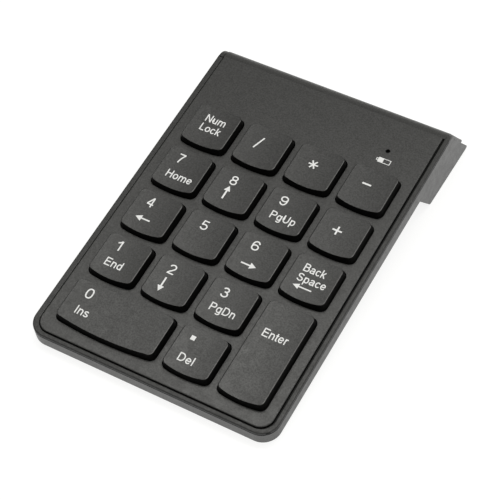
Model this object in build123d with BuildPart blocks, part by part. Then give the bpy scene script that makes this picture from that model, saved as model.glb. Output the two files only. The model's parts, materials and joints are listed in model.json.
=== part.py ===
from build123d import *
import os
from math import asin, atan, cos, degrees, radians, sin, tan

# Wireless numeric keypad, in millimetres, standing on a table.
# Row frame: +X right, +Y to the rear, +Z up, origin under the middle of the case at table level.
# The key deck is tilted towards the user. Everything on it is drawn in the deck's own frame:
# x right, y to the rear along the deck, z out of the deck, z = 0 on the deck's top surface.

# ---------------------------------------------------------------- driving dimensions
TILT = radians(6.6)  # deck slope
OVERLAP = 0.1  # how far joined shapes run into each other and cutters run past a face
CUT = Mode.SUBTRACT

# case
CASE_L, CASE_R, CASE_F = -22.1, 63.6, -22.2  # left, right and front faces
CORNER = 6.0  # radius of the case's front corners
WALL = 1.25
PLATE_L, PLATE_R, PLATE_F = -20.0, 61.5, -20.3  # inset deck panel
PLATE_CORNER = 4.5
PLATE_T = 1.3
GROOVE_F = 0.5  # groove in front of the deck panel
GROOVE_L, GROOVE_R = 0.15, 0.7  # the panel sits to the left in its frame
GROOVE_FLOOR = -0.75
FRAME_L, FRAME_R = PLATE_L - GROOVE_L, PLATE_R + GROOVE_R  # opening in the rim band
FRAME_F = PLATE_F - GROOVE_F
RIM_TOP, RIM_BOTTOM = -0.25, -1.1  # rim band
RIM_END = 98.05  # rear end of the rim band
SHADOW_LINE = 0.25  # parting gap under the rim band
SIDE_TOP = RIM_BOTTOM - SHADOW_LINE
CAVITY_Z = -6.0  # floor of the space for the circuit board

# underside and rear
FLOOR_FRONT = -6.2  # underside of the case at the front
FLOOR_REAR = -7.45  # underside of the case where the rear block starts
FLOOR_DROP = 0.29  # from the front down to just below the underside over the deck's origin
BLOCK_FRONT = 77.2
BLOCK_A, BLOCK_B = (84.4, -18.12), (113.5, -21.05)  # y, z at the ends of the block's flat underside
BLOCK_EDGE = 0.6  # radius of the block's rear lower edge
REAR_SLOPE = radians(33.6)  # rear face, from the deck's normal
REAR_TOP = 99.5  # where the inner rear face meets the deck plane
SKIRT_END = -12.6  # lower edge of the cover's rear skirt
SKIRT_T = 1.25
ROLL = 5.0  # radius of the deck's rear roll
END_EDGE = 0.6  # softened outer edges at the roll's two ends

# keys
PITCH = 19.0  # both ways
TRAVEL = 2.2
RISE = 2.7  # key top above the deck
KEY_LEFT, KEY_RIGHT, KEY_REAR = -15.33, 0.15, -0.10  # edges of the front left key's top
OPENING_GROWTH = (0.69, 0.45, 0.90)  # key well past the key top: sides, front, rear
WEB_TOP, WEB_BOTTOM = -3.25, -4.05  # floor of the key wells
CHIMNEY_TOP = -0.85
CHIMNEY_R, CHIMNEY_BORE = 5.1, 4.05
STEM_R, STEM_BORE = 4.0, 3.2
STEM_END = -1.75
SKIRT_Z = -0.9  # lower edge of a keycap's skirt
CAP_T = 1.2

# stabiliser wires, measured from the key's centre
WIRE_R = 0.4
WIRE_ARM = 6.0
WIRE_Z = -1.6  # height of the bar's axis
WIRE_OFF = 5.6  # centre to the bar's axis
WIRE_HALF = 14.2  # half the length of the bar
WIRE_RISE = TRAVEL / 2  # arm's end above the bar
WIRE_ANGLE = asin(WIRE_RISE / WIRE_ARM)
TAB_AT = 12.6  # keycap tabs, along the bar
TAB_ACROSS = WIRE_ARM - WIRE_OFF
CLIP_AT = 8.6  # cover clips, along the bar

# layers under the keys
SHEET = (-16.6, 58.4, -16.8, 77.3)  # left, right, front, rear
SHEET_CORNER = 2.0
SHEET_T = 0.3
FILM_T = 0.08
SUPPORT_T = 0.35
SHEET_BOTTOM = WEB_BOTTOM - SHEET_T
MEMBRANE_BOTTOM = SHEET_BOTTOM - 3 * FILM_T
SUPPORT_BOTTOM = MEMBRANE_BOTTOM - SUPPORT_T

# circuit board, tail clamp and switch
BOARD = (-7.0, 56.5, 79.3, 98.0)  # left, right, front, rear
BOARD_TOP, BOARD_T = -3.3, 1.0
BOARD_BOTTOM = BOARD_TOP - BOARD_T
CLAMP_TOP = MEMBRANE_BOTTOM - 0.03
CLAMP_AT = (22.0, 82.4)
LED_AT = (47.8, 85.9)
SWITCH_X = 44.5
SWITCH_FRONT, SWITCH_REAR = 94.2, 98.0
KNOB_TRAVEL = 2.0
LEVER_X = SWITCH_X - KNOB_TRAVEL / 2
LEVER_Z = -6.1
KNOB_Z = -6.3
SLOT_START = 112.0  # the finger piece's slot is cut forwards from here
SLOT_CUT = 13.0
SLOT_H, SLOT_CORNER = 3.4, 0.8

# screws; places in the key field lie between four keys
DECK_SCREWS = [
    (1.9, 20.9),
    (20.9, 20.9),
    (39.9, 20.9),
    (20.9, 39.9),
    (1.9, 58.9),
    (20.9, 58.9),
    (39.9, 58.9),
]
CASE_SCREWS = [(20.9, 1.9), (1.9, 39.9), (39.9, 39.9)]
FIELD_SCREWS = DECK_SCREWS + CASE_SCREWS
REAR_SCREWS = [(-18.85, 89.5), (60.35, 89.5)]
BOARD_SCREWS = [(-3.0, 86.5), (52.5, 91.5)]
CLAMP_SCREWS = [(14.0, 82.4), (30.0, 82.4)]
CASE_SEAT, REAR_SEAT = -5.75, -9.4  # seats of the screw heads
FINE_SHANK = 0.77

# batteries, receiver and door
AAA_R, AAA_L = 5.15, 43.7
BUTTON = 0.8  # a cell's button past its body
BAY_L, BAY_R = -14.9, 38.9
CELL_X = (BAY_L + BAY_R) / 2
CELL_Z = CAVITY_Z - 1.0 - AAA_R
FRONT_CELL = (89.0, CELL_Z)  # y, z of the axis
REAR_CELL = (99.9, CELL_Z - 0.55)
CONTACT_Z = CELL_Z - 0.3  # contact plates that reach the rear cell
NEST_L, NEST_R = 40.6, 56.4
DOOR_L, DOOR_R, DOOR_F, DOOR_T = -15.9, 56.9, 87.2, 1.2
DOOR_GAP = 0.15
DOOR_TOP = DOOR_T - 0.1  # the door's inner face, above the block's underside

# rating label
LABEL_AT = (20.75, 21.0)
LABEL_W, LABEL_L, LABEL_CORNER = 50.0, 30.0, 2.0
LABEL_T = 0.1
LABEL_SUNK = 0.02

# ---------------------------------------------------------------- frames and sloping faces
DECK_X, DECK_Y, DECK_Z = -(CASE_L + CASE_R) / 2, -46.26, 8.77  # deck's origin in the row frame
deck = Plane(origin=(DECK_X, DECK_Y, DECK_Z), x_dir=(1, 0, 0), z_dir=(0, -sin(TILT), cos(TILT)))
deck_normal = Axis(origin=(0, 0, 0), direction=(0, -sin(TILT), cos(TILT)))
floor_slope = atan((FLOOR_REAR - FLOOR_FRONT) / (BLOCK_FRONT - CASE_F))
block_slope = atan((BLOCK_B[1] - BLOCK_A[1]) / (BLOCK_B[0] - BLOCK_A[0]))


def level(z):
    """A plane parallel to the deck, at height z."""
    return deck.offset(z)


def side_plane(x):
    """A section plane: its x runs to the rear along the deck, its y out of the deck; faces +X."""
    return Plane(
        origin=deck.from_local_coords((x, 0, 0)),
        x_dir=(0, cos(TILT), sin(TILT)),
        z_dir=(1, 0, 0),
    )


def front_plane(y):
    """A section plane: its x runs right, its y out of the deck, and it faces the user."""
    return Plane(
        origin=deck.from_local_coords((0, y, 0)),
        x_dir=(1, 0, 0),
        z_dir=(0, -cos(TILT), -sin(TILT)),
    )


def floor_plane(up_by=0.0):
    """A plane along the thin case's underside, facing up, raised by up_by."""
    tilted = level(0).rotated((degrees(floor_slope), 0, 0))
    return tilted.offset(FLOOR_FRONT - FLOOR_DROP + up_by)


def rear_y(z, out=0.0):
    """The rear face's y at height z, out mm proud of the bottom case's rear wall."""
    return REAR_TOP + out / cos(REAR_SLOPE) - tan(REAR_SLOPE) * z


def floor_z(y, up_by=0.0):
    """Height of the thin case's underside at y."""
    return FLOOR_FRONT + tan(floor_slope) * (y - CASE_F) + up_by


def block_z(y, up_by=0.0):
    """Height of the rear block's underside at y."""
    return BLOCK_A[1] + tan(block_slope) * (y - BLOCK_A[0]) + up_by


# ---------------------------------------------------------------- shapes and selectors
def polygon(*points):
    """A closed polygon, to be added to a sketch."""
    with BuildSketch() as shape:
        with BuildLine():
            Polyline(*points, close=True)
        make_face()
    return shape.sketch_local


def block_strip(start, end, low, high):
    """A side section from y = start to end, low to high above the block's underside."""
    return polygon(
        (start, block_z(start, high)),
        (start, block_z(start, low)),
        (end, block_z(end, low)),
        (end, block_z(end, high)),
    )


def rectangle_between(left, right, front, rear, corner=0.0, mode=Mode.ADD):
    """Draw a rectangle given by its edges in the current sketch."""
    with Locations(((left + right) / 2, (front + rear) / 2)):
        if corner:
            RectangleRounded(right - left, rear - front, corner, mode=mode)
        else:
            Rectangle(right - left, rear - front, mode=mode)


def cross(length, width):
    """Draw a cross slot in the current sketch."""
    Rectangle(length, width)
    Rectangle(width, length)


def discs(bottom, top, places, radius, mode=Mode.ADD):
    """Add or cut upright cylinders in the current part, between two heights."""
    with BuildSketch(level(bottom)) as shape:
        with Locations(places):
            Circle(radius)
    extrude(shape.sketch, amount=top - bottom, mode=mode)


def blocks(bottom, top, places, size, mode=Mode.ADD):
    """Add or cut rectangular blocks in the current part, between two heights."""
    with BuildSketch(level(bottom)) as shape:
        with Locations(places):
            Rectangle(*size)
    extrude(shape.sketch, amount=top - bottom, mode=mode)


def local(shape):
    """A shape's centre in the deck frame."""
    return deck.to_local_coords(shape.center())


def top_face(builder):
    """The highest face parallel to the deck."""
    level_faces = builder.faces().filter_by(lambda f: f.normal_at().dot(deck.z_dir) > 0.999)
    return level_faces.sort_by(Axis.Z)[-1]


def front_uprights(builder):
    """The foremost edges that run along the deck's normal."""
    return builder.edges().filter_by(deck_normal).group_by(Axis.Y)[0]


def cross_edges(builder, y):
    """The edges that run left to right at y in the deck frame."""
    return builder.edges().filter_by(Axis.X).filter_by(lambda e: abs(local(e).Y - y) < 0.01)


def save(builder, name):
    builder.part.label = name
    export_step(builder.part, "parts/" + name + ".step")


# ---------------------------------------------------------------- the keys
class Key:
    """A key's place in the deck frame. Its front edge is bowed: front is its middle, corner its
    ends. Key frame of a long key: along the stabiliser's bar, and across from bar to centre."""

    def __init__(self, name, column, row, columns=1, rows=1):
        self.name = name
        self.wide = columns == 2
        self.long = self.wide or rows == 2
        self.left = PITCH * column + KEY_LEFT
        self.right = PITCH * (column + columns - 1) + KEY_RIGHT
        self.front = PITCH * row - (15.9 if self.wide else 15.6)
        self.corner = self.front + (1.2 if self.wide else 0.9)
        self.rear = PITCH * (row + rows - 1) + KEY_REAR
        self.x = (self.left + self.right) / 2
        self.y = (self.front + self.rear) / 2
        self.centre = (self.x, self.y)

    def outline(self, growth, radius):
        """The key top's outline, grown at the sides, front and rear, with rounded corners."""
        sides, front, rear = growth
        left, right = self.left - sides, self.right + sides
        with BuildSketch() as shape:
            with BuildLine():
                Polyline(
                    (left, self.corner - front),
                    (left, self.rear + rear),
                    (right, self.rear + rear),
                    (right, self.corner - front),
                )
                ThreePointArc(
                    (right, self.corner - front),
                    (self.x, self.front - front),
                    (left, self.corner - front),
                )
            make_face()
            fillet(shape.vertices(), radius)
        return shape.sketch_local

    def place(self, along, across):
        """Key frame to deck frame: the bar is at the front of a wide key, else at the right."""
        if self.wide:
            return self.x + along, self.y + across
        return self.x - across, self.y + along

    def size(self, along, across):
        """Width and depth of a rectangle given in the key frame."""
        return (along, across) if self.wide else (across, along)

    def bar_section(self, along, half):
        """Section plane across the bar, to extrude 2 * half with its middle at along."""
        if self.wide:
            return side_plane(self.x + along - half)
        return front_plane(self.y + along + half)

    def in_section(self, across):
        """A key-frame distance as the first coordinate in bar_section."""
        return self.y + across if self.wide else self.x - across


# name, column, row, columns wide, rows long
KEYS = [
    Key("num_lock", 0, 4),
    Key("divide", 1, 4),
    Key("multiply", 2, 4),
    Key("minus", 3, 4),
    Key("7", 0, 3),
    Key("8", 1, 3),
    Key("9", 2, 3),
    Key("plus", 3, 3),
    Key("4", 0, 2),
    Key("5", 1, 2),
    Key("6", 2, 2),
    Key("backspace", 3, 2),
    Key("1", 0, 1),
    Key("2", 1, 1),
    Key("3", 2, 1),
    Key("enter", 3, 0, 1, 2),
    Key("0", 0, 0, 2, 1),
    Key("point", 2, 0),
]
KEY_CENTRES = [key.centre for key in KEYS]
LONG_KEYS = [key for key in KEYS if key.long]


def inside_opening(inset):
    """Growth of an outline that lies inset mm inside the key's well."""
    return [growth - inset for growth in OPENING_GROWTH]


# ---------------------------------------------------------------- top cover
def sunk(depth):
    """Side section to cut so that the rear roll and skirt lie depth mm below their surface."""
    low = -20.0
    out = SKIRT_T - depth
    with BuildSketch() as keep:
        add(polygon((90.0, low), (90.0, -depth), (rear_y(-depth, out), -depth), (rear_y(low, out), low)))
        fillet(keep.vertices().group_by(Axis.Y)[-1].sort_by(Axis.X)[-1:], ROLL - depth)
    with BuildSketch() as cut:
        rectangle_between(RIM_END, 111.95, -19.0, 1.0)
        add(keep.sketch_local, mode=CUT)
    return cut.sketch_local


def at_end(edge):
    """True for the outer edges of the roll and the skirt on the two side faces."""
    middle = deck.to_local_coords(edge @ 0.5)
    if min(abs(middle.X - CASE_L), abs(middle.X - CASE_R)) > 1e-3 or middle.Y < 98.2:
        return False
    return middle.Z > -1.0 or middle.Y > rear_y(middle.Z, 0.8)


def make_top_cover():
    """Deck panel, key wells with their guide chimneys, and the skirt that closes the rear."""
    panel_rear, roll_start = 98.6, 98.1
    top_edge = 0.4
    skirt_outer = SKIRT_END + 0.4  # the skirt's lower edge is bevelled
    bevel_drop = 0.35
    under_plate = OVERLAP - PLATE_T
    boss_end = -7.0  # of the rear screw bosses
    hook_slot, hook_slot_top = (10.4, 2.3), -1.3
    with BuildPart() as cover:
        with BuildSketch(level(-PLATE_T)):
            rectangle_between(PLATE_L, PLATE_R, PLATE_F, panel_rear)
        extrude(amount=PLATE_T)
        fillet(front_uprights(cover), PLATE_CORNER)
        # softened upper edge at the front and the sides
        fillet(top_face(cover).edges().sort_by(Axis.Y)[:-1], top_edge)

        # rear roll and skirt, full width
        with BuildSketch(side_plane(CASE_L)):
            add(
                polygon(
                    (roll_start, -PLATE_T),
                    (roll_start, 0.0),
                    (rear_y(0, SKIRT_T), 0.0),
                    (rear_y(skirt_outer, SKIRT_T), skirt_outer - bevel_drop),
                    (rear_y(SKIRT_END), SKIRT_END),
                    (rear_y(-PLATE_T), -PLATE_T),
                )
            )
        extrude(amount=CASE_R - CASE_L)
        roll_edge = cover.edges().filter_by(Axis.X).filter_by(
            lambda e: abs(local(e).Z) < 1e-3 and local(e).Y > 99
        )
        fillet(roll_edge, ROLL)
        # at both ends the roll and the skirt lie lower, in line with the rim band
        for start, end in ((CASE_L, PLATE_L), (FRAME_R, CASE_R)):
            with BuildSketch(side_plane(start)):
                add(sunk(-RIM_TOP))
            extrude(amount=end - start, mode=CUT)
        fillet(cover.edges().filter_by(at_end), END_EDGE)
        # the groove is carried on over the left end
        with BuildSketch(side_plane(FRAME_L)):
            add(sunk(0.45))
        extrude(amount=GROOVE_L, mode=CUT)

        # web of the key wells, the wells and their guide chimneys
        with BuildSketch(level(WEB_BOTTOM)):
            rectangle_between(-17.1, 58.9, -17.3, 77.8, 2.5)
        extrude(amount=under_plate - WEB_BOTTOM)
        for key in KEYS:
            with BuildSketch(level(0.0)):
                add(key.outline(OPENING_GROWTH, 2.3))
            extrude(amount=WEB_TOP, mode=CUT)
        discs(WEB_TOP - OVERLAP, CHIMNEY_TOP, KEY_CENTRES, CHIMNEY_R)
        discs(WEB_BOTTOM - OVERLAP, -0.15, KEY_CENTRES, CHIMNEY_BORE, CUT)
        # slots for the keycap hooks, closed at the top by a bridge that keeps the cap in
        blocks(WEB_BOTTOM - OVERLAP, hook_slot_top, KEY_CENTRES, hook_slot, CUT)

        for key in LONG_KEYS:
            for sign in (-1, 1):
                # clip that holds the stabiliser wire
                clip = key.place(sign * CLIP_AT, 0.1 - WIRE_OFF)
                blocks(WEB_TOP - OVERLAP, -0.95, clip, key.size(2.0, 1.9))
                # window for the keycap's tab when the key is down
                window = key.place(sign * TAB_AT, TAB_ACROSS)
                window_size = key.size(1.8, 4.6)
                blocks(WEB_BOTTOM - OVERLAP, WEB_BOTTOM + 0.9, window, window_size, CUT)
            # snap groove: a bore with a narrower mouth on top
            bar_at = key.in_section(-WIRE_OFF)
            with BuildSketch(key.bar_section(0, 12)):
                with Locations((bar_at, WIRE_Z)):
                    Circle(WIRE_R + 0.05)
                with Locations((bar_at, WIRE_Z + 0.6)):
                    Rectangle(0.7, 1.3)
            extrude(amount=24, mode=CUT)

        # screw bosses under the rear of the deck, and pilot holes
        discs(BOARD_TOP, under_plate, BOARD_SCREWS + CLAMP_SCREWS, 2.3)
        discs(boss_end, under_plate, REAR_SCREWS, 2.0)
        discs(WEB_BOTTOM - OVERLAP, -1.05, FIELD_SCREWS, 0.8, CUT)
        discs(boss_end - OVERLAP, -1.2, REAR_SCREWS, 0.95, CUT)
        discs(BOARD_TOP - OVERLAP, -1.0, BOARD_SCREWS + CLAMP_SCREWS, 0.8, CUT)
        # indicator hole
        discs(-PLATE_T - OVERLAP, OVERLAP, LED_AT, 0.65, CUT)
        # slot for the power switch's finger piece
        with BuildSketch(front_plane(SLOT_START)):
            with Locations((SWITCH_X, KNOB_Z)):
                RectangleRounded(8.4, SLOT_H, SLOT_CORNER)
        extrude(amount=SLOT_CUT, mode=CUT)
    save(cover, "top_cover")


# ---------------------------------------------------------------- mid frame
def band(inset, outer_corner, left, right, front, inner_corner):
    """Draw a band inset from the case's outline, open inside the given edges and at the rear."""
    rectangle_between(
        CASE_L + inset, CASE_R - inset, CASE_F + inset, RIM_END + 20 - inset, outer_corner
    )
    rectangle_between(left, right, front, RIM_END + 30, inner_corner, CUT)
    with Locations(((CASE_L + CASE_R) / 2, RIM_END + 30)):
        Rectangle(120, 60, mode=CUT)


def make_mid_frame():
    """Rim band round the front and the sides, with a ledge that carries the deck panel."""
    lip_bottom = -2.45
    lip_inset = WALL + 0.05
    fit = 0.08  # clearance round the deck panel
    round_panel = (PLATE_L - fit, PLATE_R + fit, PLATE_F - fit, PLATE_CORNER + fit)
    with BuildPart() as frame:
        with BuildSketch(level(RIM_BOTTOM)):
            band(0, CORNER, FRAME_L, FRAME_R, FRAME_F, PLATE_CORNER + GROOVE_F)
        extrude(amount=RIM_TOP - RIM_BOTTOM)
        # rounded outer edge of the band
        fillet(
            top_face(frame).outer_wire().edges().filter_by(
                lambda e: local(e).X < FRAME_L - 0.9
                or local(e).X > FRAME_R + 1.0
                or local(e).Y < FRAME_F - 1.0
            ),
            0.5,
        )
        # floor of the groove
        with BuildSketch(level(RIM_BOTTOM)):
            band(0.5, CORNER - 0.5, *round_panel)
        extrude(amount=GROOVE_FLOOR - RIM_BOTTOM)
        # inner lip
        with BuildSketch(level(lip_bottom)):
            band(lip_inset, CORNER - WALL, *round_panel)
        extrude(amount=RIM_BOTTOM - lip_bottom + OVERLAP)
        # ledge under the deck panel
        with BuildSketch(level(lip_bottom)):
            band(lip_inset, CORNER - WALL, -17.9, 59.7, -18.1, 3.0)
        extrude(amount=-PLATE_T - 0.02 - lip_bottom)
        # room for the cover's two rear screw bosses
        discs(-2.5, RIM_BOTTOM, REAR_SCREWS, 2.1, CUT)
    save(frame, "mid_frame")


# ---------------------------------------------------------------- bottom case
def case_hollow():
    """The space inside the case, under the keys and over the rear block."""
    floor_t = 1.2
    rear_wall = 1.8  # measured along y
    front = CASE_F + WALL
    with BuildPart() as hollow:
        with BuildSketch(side_plane(CASE_L + WALL)):
            add(
                polygon(
                    (front, 0.0),
                    (front, floor_z(front, floor_t)),
                    (BLOCK_FRONT + 1.0, floor_z(BLOCK_FRONT + 1.0, floor_t)),
                    (BLOCK_FRONT + 1.9, CAVITY_Z),
                    (rear_y(CAVITY_Z) - rear_wall, CAVITY_Z),
                    (rear_y(0) - rear_wall, 0.0),
                )
            )
        extrude(amount=CASE_R - CASE_L - 2 * WALL)
        fillet(front_uprights(hollow), CORNER - WALL)
    return hollow.part


def make_bottom_case():
    """Side walls, thin floor under the keys, and the block across the rear underside."""
    hollow = case_hollow()
    bay_front, bay_top = 83.3, CAVITY_Z - 0.9
    bay_rear = 106.9
    nest_front, nest_top = 87.6, -11.2
    cut_end = 116.0  # behind the block
    screw_cut = -12.0  # below the thin floor
    well_cut = -30.0  # below the block
    with BuildPart() as case:
        with BuildSketch(side_plane(CASE_L)):
            add(
                polygon(
                    (CASE_F, SIDE_TOP),
                    (CASE_F, FLOOR_FRONT),
                    (BLOCK_FRONT, FLOOR_REAR),
                    BLOCK_A,
                    BLOCK_B,
                    (rear_y(SIDE_TOP) - 0.03, SIDE_TOP),
                )
            )
        extrude(amount=CASE_R - CASE_L)
        fillet(front_uprights(case), CORNER)
        # front and rear lower edges of the block
        fillet(cross_edges(case, BLOCK_A[0]), 2.0)
        fillet(cross_edges(case, BLOCK_B[0]), BLOCK_EDGE)
        # lower edges of the front and the sides
        underside = case.faces().filter_by(
            lambda f: abs(f.normal_at().dot(deck.z_dir) + 1) < 0.01 and local(f).Y < 60
        ).sort_by(Axis.Z)[0]
        fillet(underside.edges().sort_by(Axis.Y)[:-1], 0.7)
        add(hollow, mode=CUT)

        # battery bay, open at the bottom
        with BuildSketch(side_plane(BAY_L)):
            add(
                polygon(
                    (bay_front, bay_top),
                    (102.5, bay_top),
                    (106.6, -13.0),
                    (bay_rear, -18.0),
                    (bay_rear, block_z(bay_rear, -0.2)),
                    (87.1, block_z(87.1, -0.2)),
                    (87.1, -17.2),
                    (85.3, -17.05),
                    (bay_front, -13.6),
                )
            )
        extrude(amount=BAY_R - BAY_L, mode=CUT)
        # pocket for the power switch and its slider
        blocks(-8.2, -5.2, (SWITCH_X, 97.6), (9.6, 7.6), CUT)
        # nest for the receiver, open at the bottom
        with BuildSketch(side_plane(NEST_L)):
            add(
                polygon(
                    (nest_front, nest_top),
                    (105.6, nest_top),
                    (bay_rear, block_z(bay_rear, -0.2)),
                    (nest_front, block_z(nest_front, -0.2)),
                )
            )
        extrude(amount=NEST_R - NEST_L, mode=CUT)
        # recess for the battery door, open through the rear corner
        with BuildSketch(side_plane(DOOR_L)):
            add(block_strip(DOOR_F, cut_end, -2.0, DOOR_T))
        extrude(amount=DOOR_R - DOOR_L, mode=CUT)
        # grooves for the door's rails
        for x in (DOOR_L - 0.9, DOOR_R - 0.1):
            with BuildSketch(side_plane(x)):
                add(block_strip(DOOR_F + 2.0, cut_end, DOOR_T - 0.7, DOOR_T))
            extrude(amount=1.0, mode=CUT)

        # deep wells for the two rear screws
        discs(well_cut, REAR_SEAT, REAR_SCREWS, 1.95, CUT)
        discs(well_cut, 0.0, REAR_SCREWS, 1.15, CUT)
        discs(-7.1, -0.2, REAR_SCREWS, 2.1, CUT)
        # ribs that carry the support plate
        for y in (-10.0, 10.0, 30.0, 50.0, 70.0):
            foot = floor_z(y, 0.6)
            with BuildSketch(side_plane(CASE_L + WALL - OVERLAP)):
                add(
                    polygon(
                        (y - 0.5, foot),
                        (y + 0.5, foot),
                        (y + 0.5, SUPPORT_BOTTOM),
                        (y - 0.5, SUPPORT_BOTTOM),
                    )
                )
            extrude(amount=CASE_R - CASE_L - 2 * WALL + 2 * OVERLAP)
        # bosses, holes and counterbores for the three screws under the keys
        discs(SUPPORT_BOTTOM - 0.9, SUPPORT_BOTTOM, CASE_SCREWS, 2.6)
        discs(screw_cut, -3.0, CASE_SCREWS, 0.95, CUT)
        discs(screw_cut, CASE_SEAT, CASE_SCREWS, 1.7, CUT)
        # slot for the power switch's finger piece
        with BuildSketch(front_plane(SLOT_START)):
            with Locations((SWITCH_X, KNOB_Z)):
                RectangleRounded(9.6, SLOT_H, SLOT_CORNER)
        extrude(amount=SLOT_CUT, mode=CUT)
        # recess for the underside label
        with BuildSketch(floor_plane(-1.0)):
            with Locations(LABEL_AT):
                RectangleRounded(LABEL_W + 0.2, LABEL_L + 0.2, LABEL_CORNER + 0.1)
        extrude(amount=1.0 + LABEL_SUNK + LABEL_T, mode=CUT)
    save(case, "bottom_case")


# ---------------------------------------------------------------- keycaps
def make_keycap(key):
    ceiling = RISE - CAP_T
    tab_end = -1.45
    dish_half = (key.right - key.left) / 2 - 0.35
    dish_depth = 0.33
    dish_radius = (dish_half**2 + dish_depth**2) / (2 * dish_depth)
    with BuildPart() as cap:
        # drafted body
        with BuildSketch(level(SKIRT_Z)):
            add(key.outline(inside_opening(0.15), 2.15))
        with BuildSketch(level(RISE)):
            add(key.outline((0, 0, 0), 1.8))
        loft(ruled=True)
        fillet(top_face(cap).edges(), 0.4)
        # shallow cylindrical dish along the deck
        with BuildSketch(front_plane(key.rear + 2.0)):
            with Locations((key.x, RISE - dish_depth + dish_radius)):
                Circle(dish_radius)
        extrude(amount=key.rear - key.front + 4.0, mode=CUT)
        # hollow
        with BuildSketch(level(SKIRT_Z)):
            add(key.outline(inside_opening(1.15), 1.3))
        with BuildSketch(level(ceiling)):
            add(key.outline((-1.0, -1.0, -1.0), 1.0))
        loft(ruled=True, mode=CUT)
        # guide stem with a web that bears on the dome
        discs(STEM_END, ceiling + OVERLAP, key.centre, STEM_R)
        discs(STEM_END - OVERLAP, -1.0, key.centre, STEM_BORE, CUT)
        # retaining hooks
        hooks = [(key.x - 4.1, key.y), (key.x + 4.1, key.y)]
        blocks(STEM_END, STEM_END + 0.4, hooks, (1.3, 2.0))
        # slotted tabs for the stabiliser wire
        if key.long:
            for sign in (-1, 1):
                tab = key.place(sign * TAB_AT, TAB_ACROSS)
                blocks(tab_end, ceiling + OVERLAP, tab, key.size(1.2, 4.0))
            for sign in (-1, 1):
                with BuildSketch(key.bar_section(sign * TAB_AT, 1.0)):
                    with Locations((key.in_section(TAB_ACROSS - 0.05), WIRE_Z + WIRE_RISE)):
                        SlotOverall(1.6, 2 * WIRE_R + 0.12)
                extrude(amount=2.0, mode=CUT)
    save(cap, "keycap_" + key.name)


# ---------------------------------------------------------------- stabiliser wires
def make_stabiliser(key):
    """A bar with two raised arms whose ends turn inwards through the keycap tabs."""
    arm_end = WIRE_ARM * cos(WIRE_ANGLE) - WIRE_OFF
    pin_end = TAB_AT - 0.9
    # along the bar, across it, height
    stations = [
        (-pin_end, arm_end, WIRE_Z + WIRE_RISE),
        (-WIRE_HALF, arm_end, WIRE_Z + WIRE_RISE),
        (-WIRE_HALF, -WIRE_OFF, WIRE_Z),
        (WIRE_HALF, -WIRE_OFF, WIRE_Z),
        (WIRE_HALF, arm_end, WIRE_Z + WIRE_RISE),
        (pin_end, arm_end, WIRE_Z + WIRE_RISE),
    ]
    bends = [
        deck.from_local_coords((*key.place(along, across), z)) for along, across, z in stations
    ]
    with BuildPart() as wire:
        with BuildLine() as path:
            FilletPolyline(*bends, radius=0.7)
        with BuildSketch(Plane(origin=bends[0], z_dir=(bends[1] - bends[0]).normalized())):
            Circle(WIRE_R)
        sweep(path=path.wires()[0])
    save(wire, "stabiliser_zero" if key.wide else "stabiliser_enter")


# ---------------------------------------------------------------- layers under the keys
def make_dome_sheet():
    dome_shoulder = -1.7
    dome_top_r = 2.5
    inner_top = -2.2
    with BuildPart() as sheet:
        with BuildSketch(level(SHEET_BOTTOM)):
            rectangle_between(*SHEET, SHEET_CORNER)
        extrude(amount=SHEET_T)
        for key in KEYS:
            with BuildSketch(level(WEB_BOTTOM - 0.05)):
                with Locations(key.centre):
                    Circle(3.7)
            with BuildSketch(level(dome_shoulder)):
                with Locations(key.centre):
                    Circle(dome_top_r)
            loft()
            discs(dome_shoulder - 0.05, -1.03, key.centre, dome_top_r)
        for key in KEYS:
            with BuildSketch(level(SHEET_BOTTOM - 0.05)):
                with Locations(key.centre):
                    Circle(3.4)
            with BuildSketch(level(inner_top)):
                with Locations(key.centre):
                    Circle(2.1)
            loft(mode=CUT)
            # carbon pill
            discs(inner_top - 0.5, inner_top + 0.1, key.centre, 1.3)
        discs(SHEET_BOTTOM - OVERLAP, SHEET_BOTTOM + 0.9, FIELD_SCREWS, 1.1, CUT)
    save(sheet, "dome_sheet")


def make_film(name, layer):
    """One membrane film, layer 1 on top. The outer two have a tail, the spacer has key holes."""
    spacer = name == "membrane_spacer"
    with BuildPart() as film:
        with BuildSketch(level(SHEET_BOTTOM - layer * FILM_T)):
            rectangle_between(*SHEET, SHEET_CORNER)
            if not spacer:
                with Locations((22.0, 80.4)):
                    Rectangle(12.0, 8.4)
            with Locations(FIELD_SCREWS):
                Circle(1.1, mode=CUT)
            if spacer:
                with Locations(KEY_CENTRES):
                    Circle(2.4, mode=CUT)
        extrude(amount=FILM_T)
    save(film, name)


def make_support_plate():
    with BuildPart() as plate:
        with BuildSketch(level(SUPPORT_BOTTOM)):
            rectangle_between(*SHEET, SHEET_CORNER)
            with Locations(FIELD_SCREWS):
                Circle(1.0, mode=CUT)
        extrude(amount=SUPPORT_T)
    save(plate, "support_plate")


# ---------------------------------------------------------------- circuit board and what it carries
def make_circuit_board():
    with BuildPart() as board:
        with BuildSketch(level(BOARD_BOTTOM)):
            rectangle_between(*BOARD)
            with Locations(BOARD_SCREWS + CLAMP_SCREWS):
                Circle(1.0, mode=CUT)
        extrude(amount=BOARD_T)
    save(board, "circuit_board")


def make_radio_chip():
    with BuildPart() as chip:
        blocks(BOARD_BOTTOM - 0.9, BOARD_BOTTOM, (4.0, 92.5), (5.0, 5.0))
        # the lowest edge, at the front
        chamfer(chip.edges().sort_by(Axis.Z)[:1], 0.15)
    save(chip, "radio_chip")


def make_crystal():
    height = 1.0
    with BuildPart() as crystal:
        with BuildSketch(level(BOARD_BOTTOM - height)):
            with Locations((12.0, 93.0)):
                RectangleRounded(3.2, 2.5, 0.3)
        extrude(amount=height)
    save(crystal, "crystal")


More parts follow.
